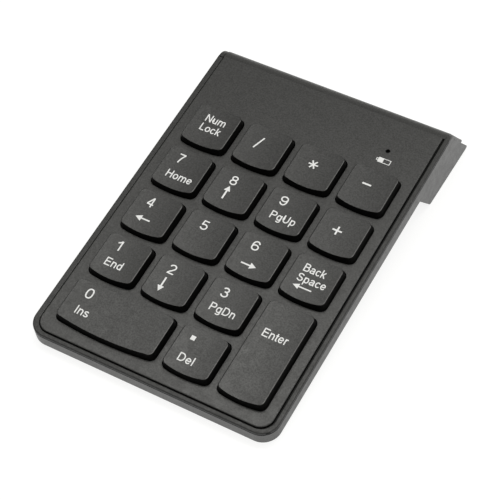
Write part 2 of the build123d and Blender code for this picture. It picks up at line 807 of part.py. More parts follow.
def make_tail_clamp():
    with BuildPart() as clamp:
        with BuildSketch(level(CLAMP_TOP - 0.75)):
            with Locations(CLAMP_AT):
                RectangleRounded(20.0, 3.4, 1.2)
            with Locations(CLAMP_SCREWS):
                Circle(0.95, mode=CUT)
        extrude(amount=0.65)
        # ribs that press the tail on the board
        ribs = [(18.0 + 1.6 * k, CLAMP_AT[1]) for k in range(6)]
        blocks(CLAMP_TOP - 0.15, CLAMP_TOP, ribs, (0.8, 2.2))
    save(clamp, "tail_clamp")


def make_led():
    with BuildPart() as led:
        blocks(BOARD_TOP, BOARD_TOP + 0.6, LED_AT, (1.6, 0.8))
    save(led, "led")


def make_light_pipe():
    with BuildPart() as pipe:
        discs(-2.6, -PLATE_T - 0.02, LED_AT, 1.6)
        discs(-2.0, -1.0, LED_AT, 0.6)
    save(pipe, "light_pipe")


def make_power_switch():
    middle = (SWITCH_X, (SWITCH_FRONT + SWITCH_REAR) / 2)
    with BuildPart() as switch:
        blocks(BOARD_BOTTOM - 3.5, BOARD_BOTTOM, middle, (8.6, SWITCH_REAR - SWITCH_FRONT))
        # opening that the lever slides in
        with BuildSketch(front_plane(SWITCH_REAR + OVERLAP)):
            with Locations((SWITCH_X, LEVER_Z)):
                Rectangle(4.4, 1.7)
        extrude(amount=1.6, mode=CUT)
    save(switch, "power_switch")


LEVER_W, LEVER_H, LEVER_L = 2.0, 1.4, 3.0
LEVER_REAR = SWITCH_REAR + 1.6


def make_switch_lever():
    with BuildPart() as lever:
        with BuildSketch(front_plane(LEVER_REAR)):
            with Locations((LEVER_X, LEVER_Z)):
                Rectangle(LEVER_W, LEVER_H)
        extrude(amount=LEVER_L)
    save(lever, "switch_lever")


def make_switch_slider():
    """Flag behind the wall, forked over the lever, and the ribbed finger piece outside."""
    wall_y = rear_y(KNOB_Z)
    flag_rear = wall_y - 2.1
    knob_face = 0.35  # the finger piece stays just inside the skirt
    # rear face, length to the front
    sections = ((flag_rear, flag_rear - SWITCH_REAR - 0.25), (wall_y + knob_face, knob_face + 2.3))
    with BuildPart() as slider:
        for rear, length in sections:
            with BuildSketch(front_plane(rear)):
                with Locations((LEVER_X, KNOB_Z)):
                    RectangleRounded(5.4, 2.9, 0.5)
            extrude(amount=length)
        # room for the lever
        with BuildSketch(front_plane(LEVER_REAR + 0.05)):
            with Locations((LEVER_X, LEVER_Z)):
                Rectangle(LEVER_W + 0.06, LEVER_H + 0.06)
        extrude(amount=LEVER_L, mode=CUT)
        # grooves between the ribs
        for dx in (-1.4, 0.0, 1.4):
            with BuildSketch(front_plane(wall_y + knob_face + OVERLAP)):
                with Locations((LEVER_X + dx, KNOB_Z)):
                    Rectangle(0.5, 3.2)
            extrude(amount=0.5, mode=CUT)
    save(slider, "switch_slider")


# ---------------------------------------------------------------- batteries and contacts
def make_battery(name, axis, button_side):
    """An AAA cell; button_side is 1 for a button at the right and -1 at the left."""
    button_root = 0.2  # the button starts inside the body
    with BuildPart() as battery:
        with BuildSketch(side_plane(CELL_X - AAA_L / 2 * button_side)):
            with Locations(axis):
                Circle(AAA_R)
        extrude(amount=button_side * AAA_L)
        fillet(battery.edges().filter_by(GeomType.CIRCLE), 0.5)
        with BuildSketch(side_plane(CELL_X + (AAA_L / 2 - button_root) * button_side)):
            with Locations(axis):
                Circle(1.9)
        extrude(amount=button_side * (BUTTON + button_root))
    save(battery, name)


def make_battery_springs():
    """Springs that press on the flat ends: four widening turns, with links between them."""
    first_turn, turn_pitch = 0.35, 0.95
    widening = 0.45
    reach = AAA_L / 2 + 0.1
    with BuildPart() as springs:
        for (y, z), outward in ((FRONT_CELL, -1), (REAR_CELL, 1)):
            turns = [CELL_X + outward * (reach + first_turn + k * turn_pitch) for k in range(4)]
            for k in range(4):
                with BuildSketch(side_plane(turns[k])):
                    with Locations((y, z)):
                        Circle(2.2 + widening * k)
                        Circle(1.6 + widening * k, mode=CUT)
                extrude(amount=0.3, both=True)
            # the wire's climb from turn to turn
            for k in range(3):
                with BuildSketch(side_plane(turns[k])):
                    with Locations((y, z + (1.95 + widening * k) * (-1) ** k)):
                        Circle(0.28)
                extrude(amount=outward * turn_pitch)
    save(springs, "battery_springs")


def make_contact(name, plate_x, plate_at, width, nub=None):
    """A contact plate facing the cells; nub is its start x, end x and axis."""
    with BuildPart() as contact:
        with BuildSketch(side_plane(plate_x)):
            with Locations(plate_at):
                RectangleRounded(width, 7.6, 1.0)
        extrude(amount=0.35)
        if nub:
            start, end, axis = nub
            with BuildSketch(side_plane(start)):
                with Locations(axis):
                    Circle(1.7)
            extrude(amount=end - start)
    save(contact, name)


def make_contacts():
    button_face = AAA_L / 2 + BUTTON + 0.05  # from the cells' middle, just clear of the button
    link_at = ((FRONT_CELL[0] + REAR_CELL[0]) / 2, CONTACT_Z)
    link_nub = (BAY_L + 0.65, CELL_X - button_face, REAR_CELL)
    plus_nub = (CELL_X + button_face, BAY_R - 0.6, FRONT_CELL)
    right_plate = BAY_R - 0.7
    width = 8.0
    make_contact("battery_link", BAY_L + 0.35, link_at, 18.2, link_nub)
    make_contact("battery_plus_contact", right_plate, FRONT_CELL, width, plus_nub)
    make_contact("battery_minus_contact", right_plate, (REAR_CELL[0], CONTACT_Z), width)


# ---------------------------------------------------------------- battery door
def make_battery_door():
    front = DOOR_F + DOOR_GAP
    rear_top = rear_y(block_z(111.5, DOOR_TOP))
    with BuildPart() as door:
        with BuildSketch(side_plane(DOOR_L + DOOR_GAP)):
            add(
                polygon(
                    (front, block_z(front, DOOR_TOP)),
                    (front, block_z(front)),
                    BLOCK_B,
                    (rear_top, block_z(rear_top, DOOR_TOP)),
                )
            )
        extrude(amount=DOOR_R - DOOR_L - 2 * DOOR_GAP)
        fillet(cross_edges(door, BLOCK_B[0]), BLOCK_EDGE)
        # side rails
        for x in (DOOR_L - 0.65, DOOR_R - DOOR_GAP - OVERLAP):
            with BuildSketch(side_plane(x)):
                add(block_strip(DOOR_F + 2.3, 108.5, DOOR_T - 0.6, DOOR_TOP))
            extrude(amount=0.9)
        # finger grooves on the outside
        for k in range(5):
            y = 92.5 + 1.5 * k
            with BuildSketch(side_plane(12.0)):
                add(block_strip(y - 0.35, y + 0.35, -0.05, 0.35))
            extrude(amount=17.0, mode=CUT)
    save(door, "battery_door")


# ---------------------------------------------------------------- stored receiver
NEST_X = (NEST_L + NEST_R) / 2
SHELL_Y, SHELL_DEPTH = 91.3, 6.6


def make_receiver_shell():
    with BuildPart() as shell:
        with BuildSketch(level(-16.9)):
            with Locations((NEST_X, SHELL_Y)):
                RectangleRounded(14.6, SHELL_DEPTH, 0.8)
        extrude(amount=5.4)
        underside = shell.faces().filter_by(lambda f: f.normal_at().dot(deck.z_dir) < -0.99)
        fillet(underside.edges(), 0.6)
    save(shell, "receiver_shell")


def make_receiver_plug():
    length = 10.6
    with BuildPart() as plug:
        with BuildSketch(front_plane(SHELL_Y + SHELL_DEPTH / 2 + length)):
            with Locations((NEST_X, -14.2)):
                Rectangle(12.0, 4.5)
                with Locations((0, 1.0)):
                    Rectangle(11.3, 1.5, mode=CUT)
        extrude(amount=length)
    save(plug, "receiver_plug")


# ---------------------------------------------------------------- feet, label
def make_feet(name, left, right, y, outline, height, underside, edge):
    """A pair of feet, flat on the table and cut off at the case's underside."""
    with BuildPart() as feet:
        with BuildSketch(Plane.XY):
            with Locations((DECK_X + left, DECK_Y + y), (DECK_X + right, DECK_Y + y)):
                RectangleRounded(*outline)
        extrude(amount=height)
        split(bisect_by=underside, keep=Keep.BOTTOM)
        fillet(feet.faces().filter_by(Plane.XY).group_by(Axis.Z)[0].edges(), edge)
    save(feet, name)


def make_all_feet():
    block_plane = Plane(
        origin=deck.from_local_coords((0, *BLOCK_A)),
        x_dir=(1, 0, 0),
        z_dir=(0, -sin(TILT + block_slope), cos(TILT + block_slope)),
    )
    # an outline is width, depth, corner radius
    make_feet("front_feet", -14.5, 56.0, -14.2, (9.0, 5.0, 2.2), 2.6, floor_plane(), 0.3)
    make_feet("rear_feet", -19.6, 61.1, 105.8, (3.6, 12.0, 1.6), 3.0, block_plane, 0.25)


def make_rating_label():
    with BuildPart() as label:
        with BuildSketch(floor_plane(LABEL_SUNK)):
            with Locations(LABEL_AT):
                RectangleRounded(LABEL_W, LABEL_L, LABEL_CORNER)
        extrude(amount=LABEL_T)
    save(label, "rating_label")


# ---------------------------------------------------------------- screws
def make_deck_screws():
    head_bottom = SUPPORT_BOTTOM - 0.4
    with BuildPart() as screws:
        discs(head_bottom, SUPPORT_BOTTOM, DECK_SCREWS, 1.5)
        discs(SUPPORT_BOTTOM - OVERLAP, SUPPORT_BOTTOM + 3.3, DECK_SCREWS, FINE_SHANK)
        with BuildSketch(level(head_bottom - 0.01)):
            with Locations(DECK_SCREWS):
                cross(1.6, 0.3)
        extrude(amount=0.25, mode=CUT)
    save(screws, "deck_screws")


def make_case_screws():
    case_head, rear_head = CASE_SEAT - 0.85, REAR_SEAT - 1.3  # undersides of the heads
    with BuildPart() as screws:
        discs(case_head, CASE_SEAT - 0.02, CASE_SCREWS, 1.55)
        discs(CASE_SEAT - OVERLAP, CASE_SEAT + 4.5, CASE_SCREWS, FINE_SHANK)
        discs(rear_head, REAR_SEAT - 0.02, REAR_SCREWS, 1.8)
        discs(REAR_SEAT - OVERLAP, REAR_SEAT + 7.3, REAR_SCREWS, 0.92)
        with BuildSketch(level(case_head - 0.01)):
            with Locations(CASE_SCREWS):
                cross(1.9, 0.4)
        extrude(amount=0.45, mode=CUT)
        with BuildSketch(level(rear_head - 0.01)):
            with Locations(REAR_SCREWS):
                cross(2.3, 0.5)
        extrude(amount=0.7, mode=CUT)
    save(screws, "case_screws")


def make_board_screws():
    """The board's and the tail clamp's screws; only the board's have cross slots."""
    head_r = 1.6
    board_head = BOARD_BOTTOM - 0.9
    clamp_seat = CLAMP_TOP - 0.77
    with BuildPart() as screws:
        discs(board_head, BOARD_BOTTOM - 0.02, BOARD_SCREWS, head_r)
        discs(BOARD_BOTTOM - OVERLAP, BOARD_BOTTOM + 3.0, BOARD_SCREWS, FINE_SHANK)
        discs(clamp_seat - 0.55, clamp_seat, CLAMP_SCREWS, head_r)
        discs(CLAMP_TOP - 0.85, CLAMP_TOP + 2.95, CLAMP_SCREWS, FINE_SHANK)
        with BuildSketch(level(board_head - 0.01)):
            with Locations(BOARD_SCREWS):
                cross(1.9, 0.4)
        extrude(amount=0.45, mode=CUT)
    save(screws, "board_screws")


# ---------------------------------------------------------------- build everything
os.makedirs("parts", exist_ok=True)

make_top_cover()
make_mid_frame()
make_bottom_case()
for key in KEYS:
    make_keycap(key)
for key in LONG_KEYS:
    make_stabiliser(key)

make_dome_sheet()
for layer, name in enumerate(("membrane_top", "membrane_spacer", "membrane_bottom"), start=1):
    make_film(name, layer)
make_support_plate()

make_circuit_board()
make_radio_chip()
make_crystal()
make_tail_clamp()
make_led()
make_light_pipe()
make_power_switch()
make_switch_lever()
make_switch_slider()

make_battery("battery_front", FRONT_CELL, 1)
make_battery("battery_rear", REAR_CELL, -1)
make_battery_springs()
make_contacts()
make_battery_door()
make_receiver_shell()
make_receiver_plug()

make_all_feet()
make_rating_label()
make_deck_screws()
make_case_screws()
make_board_screws()
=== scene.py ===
"""The looks of a numeric keypad: materials, key legends, silicone domes, and a lit stage.

The row frame has x to the right, y to the rear and z up. The key deck is tilted in it, so most
shapes are laid out in a deck frame: x right, y to the rear along the deck, z out of the deck.
Sizes are millimetres until a point is placed, and metres in the scene.
"""

import json
import math

import bmesh
import bpy
from mathutils import Matrix, Vector
from mathutils.bvhtree import BVHTree
from mathutils.geometry import delaunay_2d_cdt


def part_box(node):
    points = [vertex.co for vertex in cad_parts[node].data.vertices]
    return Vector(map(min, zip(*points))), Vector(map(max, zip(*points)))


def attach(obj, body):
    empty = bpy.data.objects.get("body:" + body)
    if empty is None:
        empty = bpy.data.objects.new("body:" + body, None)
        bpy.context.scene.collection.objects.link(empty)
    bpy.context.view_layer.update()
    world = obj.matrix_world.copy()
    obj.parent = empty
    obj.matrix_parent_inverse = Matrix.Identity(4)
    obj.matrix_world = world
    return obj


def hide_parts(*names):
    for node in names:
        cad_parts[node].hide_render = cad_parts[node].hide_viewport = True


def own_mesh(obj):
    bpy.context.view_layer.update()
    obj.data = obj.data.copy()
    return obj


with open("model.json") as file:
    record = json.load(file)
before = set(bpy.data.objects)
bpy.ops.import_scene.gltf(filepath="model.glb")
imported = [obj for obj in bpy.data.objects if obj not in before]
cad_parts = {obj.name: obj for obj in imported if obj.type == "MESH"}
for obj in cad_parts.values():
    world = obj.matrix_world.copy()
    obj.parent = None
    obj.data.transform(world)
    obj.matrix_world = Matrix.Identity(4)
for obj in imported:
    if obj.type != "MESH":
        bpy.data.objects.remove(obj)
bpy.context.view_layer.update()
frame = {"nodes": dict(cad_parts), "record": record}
nodes = frame["nodes"]

# ------------------------------------------------------------------ deck frame
TILT = math.radians(6.6)
X0, Y0, Z0 = -20.75, -46.26, 8.77  # the deck frame's origin in the row frame
COS_TILT, SIN_TILT = math.cos(TILT), math.sin(TILT)
NORMAL = Vector((0, -SIN_TILT, COS_TILT))


def along(x, y, z=0.0):
    """A deck-frame direction in the row frame."""
    return Vector((x, y * COS_TILT - z * SIN_TILT, y * SIN_TILT + z * COS_TILT))


def at(x, y, z=0.0):
    """A deck-frame point as a row-frame point in metres."""
    return Vector((
        X0 + x,
        Y0 + y * COS_TILT - z * SIN_TILT,
        Z0 + y * SIN_TILT + z * COS_TILT,
    )) / 1000


# ------------------------------------------------------------------ shader graph helper
NOISE_MID = (0.3, 0.7)  # where most of a noise's values lie
FALL = (1.0, 0.0)


def put(socket, value):
    """Links a socket to another, or sets its value."""
    if hasattr(value, "is_output"):
        socket.id_data.links.new(value, socket)
    else:
        socket.default_value = value


class Nodes:
    """A material under construction around one principled shader."""

    INPUTS = {
        "colour": "Base Color",
        "rough": "Roughness",
        "metal": "Metallic",
        "normal": "Normal",
        "ior": "IOR",
        "coat": "Coat Weight",
        "coat_rough": "Coat Roughness",
        "trans": "Transmission Weight",
        "spec": "Specular IOR Level",
        "sub": "Subsurface Weight",
        "glow": "Emission Color",
        "glow_strength": "Emission Strength",
    }

    def __init__(self, name):
        self.material = bpy.data.materials.new(name)
        self.material.use_nodes = True
        self.tree = self.material.node_tree
        self.tree.nodes.clear()
        self.out = self.new("OutputMaterial")
        self.shader = self.new("BsdfPrincipled")
        put(self.out.inputs[0], self.shader.outputs[0])
        self._mm = None

    def new(self, kind, **props):
        node = self.tree.nodes.new("ShaderNode" + kind)
        for key, value in props.items():
            setattr(node, key, value)
        return node

    def set(self, **values):
        for key, value in values.items():
            put(self.shader.inputs[self.INPUTS[key]], value)
        return self.material

    # places and directions
    def scaled(self, vector, factor):
        node = self.new("VectorMath", operation="SCALE")
        put(node.inputs[0], vector)
        put(node.inputs["Scale"], factor)
        return node.outputs[0]

    def mm(self):
        """Object coordinates in millimetres, which are the row frame's."""
        if self._mm is None:
            self._mm = self.scaled(self.new("TexCoord").outputs["Object"], 1000)
        return self._mm

    def stretched(self, factors):
        node = self.new("VectorMath", operation="MULTIPLY")
        put(node.inputs[0], self.mm())
        put(node.inputs[1], factors)
        return node.outputs[0]

    def dot(self, a, b):
        node = self.new("VectorMath", operation="DOT_PRODUCT")
        put(node.inputs[0], a)
        put(node.inputs[1], b)
        return node.outputs["Value"]

    def row_x(self):
        return self.dot(self.mm(), (1, 0, 0))

    def row_y(self):
        return self.dot(self.mm(), (0, 1, 0))

    def deck_x(self):
        return self.minus(self.row_x(), X0)

    def deck_y(self):
        origin = Y0 * COS_TILT + Z0 * SIN_TILT
        return self.minus(self.dot(self.mm(), (0, COS_TILT, SIN_TILT)), origin)

    def deck_z(self):
        origin = -Y0 * SIN_TILT + Z0 * COS_TILT
        return self.minus(self.dot(self.mm(), (0, -SIN_TILT, COS_TILT)), origin)

    def surface(self):
        return self.new("NewGeometry").outputs["Normal"]

    def facing(self):
        """How far the surface faces out of the deck, 1 for the deck itself."""
        return self.dot(self.surface(), tuple(NORMAL))

    def toward(self, x, y):
        """How far the surface faces a direction in the plane of the deck."""
        return self.dot(self.surface(), tuple(along(x, y).normalized()))

    # textures
    def noise(self, scale, detail=2.0, rough=0.5, vec=None, distort=0.0):
        node = self.new("TexNoise")
        put(node.inputs["Vector"], vec or self.mm())
        put(node.inputs["Scale"], scale)
        put(node.inputs["Detail"], detail)
        put(node.inputs["Roughness"], rough)
        put(node.inputs["Distortion"], distort)
        return node.outputs["Fac"]

    def voronoi(self, scale, feature="F1", rand=1.0):
        node = self.new("TexVoronoi", feature=feature)
        put(node.inputs["Vector"], self.mm())
        put(node.inputs["Scale"], scale)
        put(node.inputs["Randomness"], rand)
        return node.outputs["Distance"]

    def wave(self, scale, direction):
        node = self.new("TexWave", bands_direction=direction)
        put(node.inputs["Vector"], self.mm())
        put(node.inputs["Scale"], scale)
        return node.outputs["Fac"]

    # arithmetic
    def math(self, op, a, b=0.0, clamp=False):
        node = self.new("Math", operation=op, use_clamp=clamp)
        for socket, value in zip(node.inputs, (a, b, 0.0)):
            put(socket, value)
        return node.outputs[0]

    def plus(self, a, b):
        return self.math("ADD", a, b)

    def minus(self, a, b):
        return self.math("SUBTRACT", a, b)

    def times(self, first, *rest):
        for value in rest:
            first = self.math("MULTIPLY", first, value)
        return first

    def span(self, value, within, to=(0.0, 1.0), smooth=True):
        """A value mapped from one range to another, clamped."""
        node = self.new("MapRange", interpolation_type="SMOOTHSTEP" if smooth else "LINEAR")
        put(node.inputs["Value"], value)
        node.inputs["From Min"].default_value, node.inputs["From Max"].default_value = within
        node.inputs["To Min"].default_value, node.inputs["To Max"].default_value = to
        return node.outputs["Result"]

    def vary(self, noise, to):
        """A noise mapped to a range."""
        return self.span(noise, NOISE_MID, to)

    def between(self, axis, rise, fall):
        """1 between two places on an axis; each side reads the axis through nodes of its own."""
        return self.times(self.span(axis(), rise), self.span(axis(), fall, FALL))

    # colour and relief
    def rgb(self, colour):
        node = self.new("RGB")
        node.outputs[0].default_value = colour
        return node.outputs[0]

    def shade(self, colour, amount):
        """A colour multiplied by a grey value."""
        return self.scaled(self.rgb(colour), amount)

    def mix(self, factor, a, b):
        node = self.new("Mix", data_type="RGBA")
        put(node.inputs[0], factor)
        put(node.inputs[6], a)
        put(node.inputs[7], b)
        return node.outputs[2]

    def edge(self, radius):
        """A mask that is 1 on sharp outer edges and 0 on flats, and the rounded normal it is
        found from by comparison with the true one."""
        bevel = self.new("Bevel")
        bevel.samples = 4
        put(bevel.inputs["Radius"], radius / 1000)
        likeness = self.dot(bevel.outputs[0], self.surface())
        return self.span(likeness, (0.995, 0.90)), bevel.outputs[0]

    def bump(self, height, strength, depth, normal=None):
        """Relief of a depth in millimetres."""
        node = self.new("Bump")
        put(node.inputs["Strength"], strength)
        put(node.inputs["Distance"], depth / 1000)
        put(node.inputs["Height"], height)
        if normal is not None:
            put(node.inputs["Normal"], normal)
        return node.outputs[0]


# ------------------------------------------------------------------ moulded plastics
HIDDEN = (0.0012, 0.0012, 0.0011, 1)  # the near black of shadowed recesses


def moulded(name, colour, rough, grain, depth, strength, edge_highlight_gain=1.25, edge_mm=0.22,
            spec=0.5, dark=None, painted_light_tone=None, plain=None):
    """Spark-eroded moulded plastic: mottled, finely grained, a little polished along its edges.
    edge_highlight_gain sets how far the colour is lightened along the edges, a painted
    highlight; dark is a function giving a mask of painted shade that takes the colour to near
    black, tone one of painted light and shade that multiplies it, and plain a mask where edges
    stay as they are, for a seam that lies flush."""
    g = Nodes(name)
    mottle = g.noise(scale=0.06, detail=3)
    speck = g.noise(scale=3.2, detail=2, rough=0.6)
    pits = g.voronoi(grain)
    fine = g.noise(scale=grain * 1.7, detail=3, rough=0.65)
    edge, normal = g.edge(edge_mm)
    if plain:
        flush = plain(g)
        normal = g.mix(flush, normal, g.surface())
        edge = g.times(edge, g.minus(1.0, flush))
    value = g.times(
        g.vary(mottle, to=(0.95, 1.05)), g.span(speck, (0.25, 0.75), to=(0.80, 1.20)))
    # painted highlight: the colour is lightened along sharp outer edges
    value = g.times(value, g.span(edge, (0, 1), to=(1.0, edge_highlight_gain)))
    # painted light and shade, multiplied into the colour
    if painted_light_tone:
        value = g.times(value, painted_light_tone(g))
    shaded = g.shade(colour, value)
    gloss = g.noise(scale=1.9, detail=3, rough=0.65)
    spec = g.times(g.vary(gloss, to=(0.72, 1.28)), spec)
    # painted shade: where the dark mask is 1 the colour goes to near black
    if dark:
        hidden = dark(g)
        shaded = g.mix(hidden, shaded, HIDDEN)
        spec = g.times(g.minus(1.0, g.times(hidden, 0.75)), spec)
    height = g.plus(g.times(pits, 0.6), g.times(fine, 0.5))
    wear = g.noise(scale=0.35, detail=3, rough=0.6)
    # handling varies the roughness, the grain adds to it and the edges' polish takes some off
    worn = g.plus(g.vary(wear, to=(rough - 0.035, rough + 0.045)), g.times(fine, 0.05))
    worn = g.math("SUBTRACT", worn, g.times(edge, 0.08), clamp=True)
    return g.set(colour=shaded, rough=worn, normal=g.bump(height, strength, depth, normal),
                 spec=spec)


def deck_painted_shade(g):
    """Painted shade, near black, in the key wells: everything below the deck surface, as far
    back as the last key row, the indicator hole with its softened mouth, and the groove over the
    left end of the roll."""
    below = g.span(g.deck_z(), (-0.10, -0.32))
    wells = g.times(below, g.span(g.deck_y(), (78.0, 79.0), FALL))
    hole_x, hole_y = 47.8, 85.9
    dx, dy = g.minus(g.deck_x(), hole_x), g.minus(g.deck_y(), hole_y)
    distance = g.math("SQRT", g.plus(g.times(dx, dx), g.times(dy, dy)))
    hole = g.span(distance, (0.76, 0.86), FALL)
    groove = g.between(g.deck_x, rise=(-20.36, -20.30), fall=(-20.0, -19.94))
    groove = g.times(groove, g.span(g.deck_y(), (98.0, 98.05)), 0.9)
    return g.math("MAXIMUM", wells, g.math("MAXIMUM", hole, groove))


def deck_painted_light(g):
    """Painted light and shade: the deck is darkened a little to the rear, and the rear roll is
    made lighter again.
    """
    return g.times(
        g.span(g.deck_y(), (55.0, 95.0), to=(1.0, 0.78)),
        g.span(g.deck_y(), (98.2, 100.6), to=(1.0, 2.3)))


def seam(g):
    """Where the rim band meets the ends of the roll."""
    return g.between(g.deck_y, rise=(97.5, 97.6), fall=(98.5, 98.6))


def key_flank_painted_shade(g):
    """Painted shade on the keycap's flanks, taking them to near black under the crown's edge."""
    return g.span(g.facing(), (0.84, 0.62))


def key_painted_highlight(g):
    """Painted highlight along the crown's edge to the front and right, where it faces the light.
    """
    crown_edge = g.times(g.span(g.facing(), (0.992, 0.965)), g.span(g.facing(), (0.78, 0.88)))
    lit = g.span(g.toward(0.6, -0.8), (0.02, 0.16))
    gain = 4.2
    return g.plus(1.0, g.times(crown_edge, lit, gain))


def front_wall_painted_light(g):
    """Painted light: the front-facing wall is made a shade lighter than the sides."""
    return g.span(g.toward(0, -1), (0.25, 0.9), to=(1.0, 1.42))


def frame_dark(g):
    """The groove's floor and the frame's hidden lip, which sit in shadow."""
    inner = g.between(g.deck_x, rise=(-20.35, -20.25), fall=(62.27, 62.37))
    inner = g.times(inner, g.span(g.deck_y(), (-20.95, -20.85)))
    inner = g.times(inner, g.span(g.deck_z(), (-0.35, -0.55)))
    return g.math("MAXIMUM", inner, g.span(g.deck_z(), (-0.90, -0.96)))


def wall_top_painted_shade(g):
    """Painted shade on the top of the case wall, inside the parting line."""
    flat = g.span(g.facing(), (0.6, 0.8))
    level = g.times(g.span(g.deck_z(), (-1.50, -1.42)), flat)
    return g.math("MAXIMUM", level, g.span(g.deck_z(), (-1.50, -1.44)))


def linear(level):
    """An sRGB level out of 255 as a linear value."""
    v = level / 255
    return v / 12.92 if v <= 0.04045 else ((v + 0.055) / 1.055) ** 2.4


def grey(level, warm):
    """A grey as a linear colour; warm adds to the red and takes off the blue."""
    return (linear(level + warm), linear(level), linear(level - warm), 1)


DECK = moulded(
    "deck_moulding", (0.0225, 0.0222, 0.0217, 1), rough=0.38, grain=6.5, depth=0.018,
    strength=0.30, dark=deck_painted_shade, painted_light_tone=deck_painted_light, plain=seam)
KEY = moulded(
    "keycap_moulding", (0.0175, 0.0173, 0.0170, 1), rough=0.38, grain=8.0, depth=0.014,
    strength=0.24, edge_highlight_gain=1.0, edge_mm=0.12, dark=key_flank_painted_shade, painted_light_tone=key_painted_highlight)
RIM = moulded(
    "rim_moulding", (0.0180, 0.0178, 0.0174, 1), rough=0.42, grain=9.0, depth=0.012,
    strength=0.24, spec=0.40, dark=frame_dark, plain=seam)
CASE = moulded(
    "case_moulding", (0.0540, 0.0537, 0.0528, 1), rough=0.40, grain=6.5, depth=0.020,
    strength=0.24, dark=wall_top_painted_shade, painted_light_tone=front_wall_painted_light)
DOOR = moulded(
    "door_moulding", (0.0530, 0.0527, 0.0518, 1), rough=0.40, grain=6.5, depth=0.020,
    strength=0.24)
KNOB = moulded(
    "knob_moulding", grey(60, warm=1), rough=0.42, grain=8.0, depth=0.012, strength=0.25)
BLACK_MOULD = moulded(
    "black_moulding", grey(38, warm=0), rough=0.38, grain=9.0, depth=0.010, strength=0.2)


# ------------------------------------------------------------------ other materials
def metal(name, colour, rough, brushed, strength=0.15):
    """Rolled, drawn or plated metal: brushed lines, faint stains and handling marks."""
    g = Nodes(name)
    lines = g.noise(scale=3.0, detail=4, rough=0.6, vec=g.stretched(brushed))
    cloud = g.noise(scale=0.12, detail=3, rough=0.55)
    marks = g.voronoi(scale=0.7, feature="DISTANCE_TO_EDGE")
    edge, normal = g.edge(radius=0.12)
    value = g.times(g.vary(cloud, to=(0.9, 1.0)), g.vary(lines, to=(0.93, 1.05)))
    value = g.times(value, g.span(edge, (0, 1), to=(1.0, 1.15)))
    shaded = g.shade(colour, value)
    worn = g.plus(g.vary(lines, to=(rough - 0.06, rough + 0.07)),
                  g.span(marks, (0.0, 0.02), to=(0.06, 0.0)))
    return g.set(colour=shaded, rough=worn, metal=1.0,
                 normal=g.bump(lines, strength, depth=0.01, normal=normal))


def ink():
    g = Nodes("legend_ink")
    cover = g.noise(scale=5.0, detail=3, rough=0.6)
    shaded = g.shade((0.735, 0.735, 0.740, 1), g.vary(cover, to=(0.955, 1.02)))
    relief = g.noise(scale=9.0, detail=2, rough=0.6)
    return g.set(colour=shaded, rough=g.span(cover, (0.2, 0.8), to=(0.42, 0.56)),
                 normal=g.bump(relief, strength=0.25, depth=0.006), spec=0.4)


def silicone():
    g = Nodes("silicone_moulding")
    cloud = g.noise(scale=0.3, detail=3)
    dust = g.noise(scale=6.0, detail=2, rough=0.7)
    shaded = g.shade((0.42, 0.43, 0.42, 1), g.vary(cloud, to=(0.93, 1.04)))
    dusty = g.span(dust, (0.66, 0.78), to=(0, 0.25))
    shaded = g.mix(dusty, shaded, (0.65, 0.65, 0.63, 1))
    return g.set(colour=shaded, rough=g.vary(dust, to=(0.5, 0.66)), sub=0.08,
                 normal=g.bump(dust, strength=0.2, depth=0.01))


def film():
    """Clear polyester film with printed silver tracks."""
    g = Nodes("polyester_film")
    cloud = g.noise(scale=0.2, detail=2)
    cells = g.voronoi(scale=0.105, feature="DISTANCE_TO_EDGE", rand=0.35)
    track = g.span(cells, (0.030, 0.045), FALL)
    weave = g.noise(scale=4.0, detail=2)
    shaded = g.shade((0.42, 0.46, 0.46, 1), g.vary(cloud, to=(0.95, 1.03)))
    shaded = g.mix(g.times(track, 0.85), shaded, (0.58, 0.58, 0.57, 1))
    rough = g.plus(g.vary(weave, to=(0.22, 0.30)), g.times(track, 0.15))
    relief = g.plus(track, g.times(weave, 0.2))
    return g.set(colour=shaded, rough=rough, normal=g.bump(relief, strength=0.2, depth=0.02))


def pcb():
    """Green woven laminate with tracks under the lacquer and tinned pads."""
    g = Nodes("circuit_laminate")
    weave = g.plus(g.wave(scale=0.9, direction="X"), g.wave(scale=0.9, direction="Y"))
    tracks = g.voronoi(scale=0.30, feature="DISTANCE_TO_EDGE", rand=0.55)
    run = g.span(tracks, (0.05, 0.08), FALL)
    pads = g.span(g.voronoi(scale=0.55, rand=0.2), (0.22, 0.26), FALL)
    cloud = g.noise(scale=0.25, detail=3)
    shaded = g.shade((0.012, 0.085, 0.035, 1), g.span(weave, (0.4, 1.6), to=(0.93, 1.05)))
    shaded = g.mix(g.times(run, 0.8), shaded, (0.028, 0.17, 0.065, 1))
    shaded = g.mix(g.times(pads, 0.9), shaded, (0.62, 0.60, 0.52, 1))
    relief = g.plus(run, g.times(weave, 0.1))
    return g.set(colour=shaded, rough=g.vary(cloud, to=(0.26, 0.38)), metal=g.times(pads, 0.8),
                 normal=g.bump(relief, strength=0.3, depth=0.03))


def package():
    """Moulded epoxy package with a gritty matt face and lighter edges."""
    g = Nodes("epoxy_package")
    grit = g.noise(scale=9.0, detail=3, rough=0.7)
    cloud = g.noise(scale=0.6, detail=2)
    edge, normal = g.edge(radius=0.1)
    value = g.times(g.vary(grit, to=(0.85, 1.12)), g.vary(cloud, to=(0.95, 1.05)))
    value = g.times(value, g.span(edge, (0, 1), to=(1, 1.5)))
    return g.set(colour=g.shade((0.018, 0.018, 0.019, 1), value),
                 rough=g.vary(grit, to=(0.55, 0.7)),
                 normal=g.bump(grit, strength=0.3, depth=0.01, normal=normal))


def lens(name, colour, rough):
    """Half clear, faintly swirled resin."""
    g = Nodes(name)
    swirl = g.noise(scale=1.5, detail=3, rough=0.5, distort=0.6)
    fine = g.noise(scale=8.0, detail=2)
    shaded = g.shade(colour, g.vary(swirl, to=(0.9, 1.06)))
    return g.set(colour=shaded, rough=g.vary(fine, to=(rough, rough + 0.07)), trans=0.35,
                 ior=1.49, coat=0.3, normal=g.bump(fine, strength=0.1, depth=0.005))


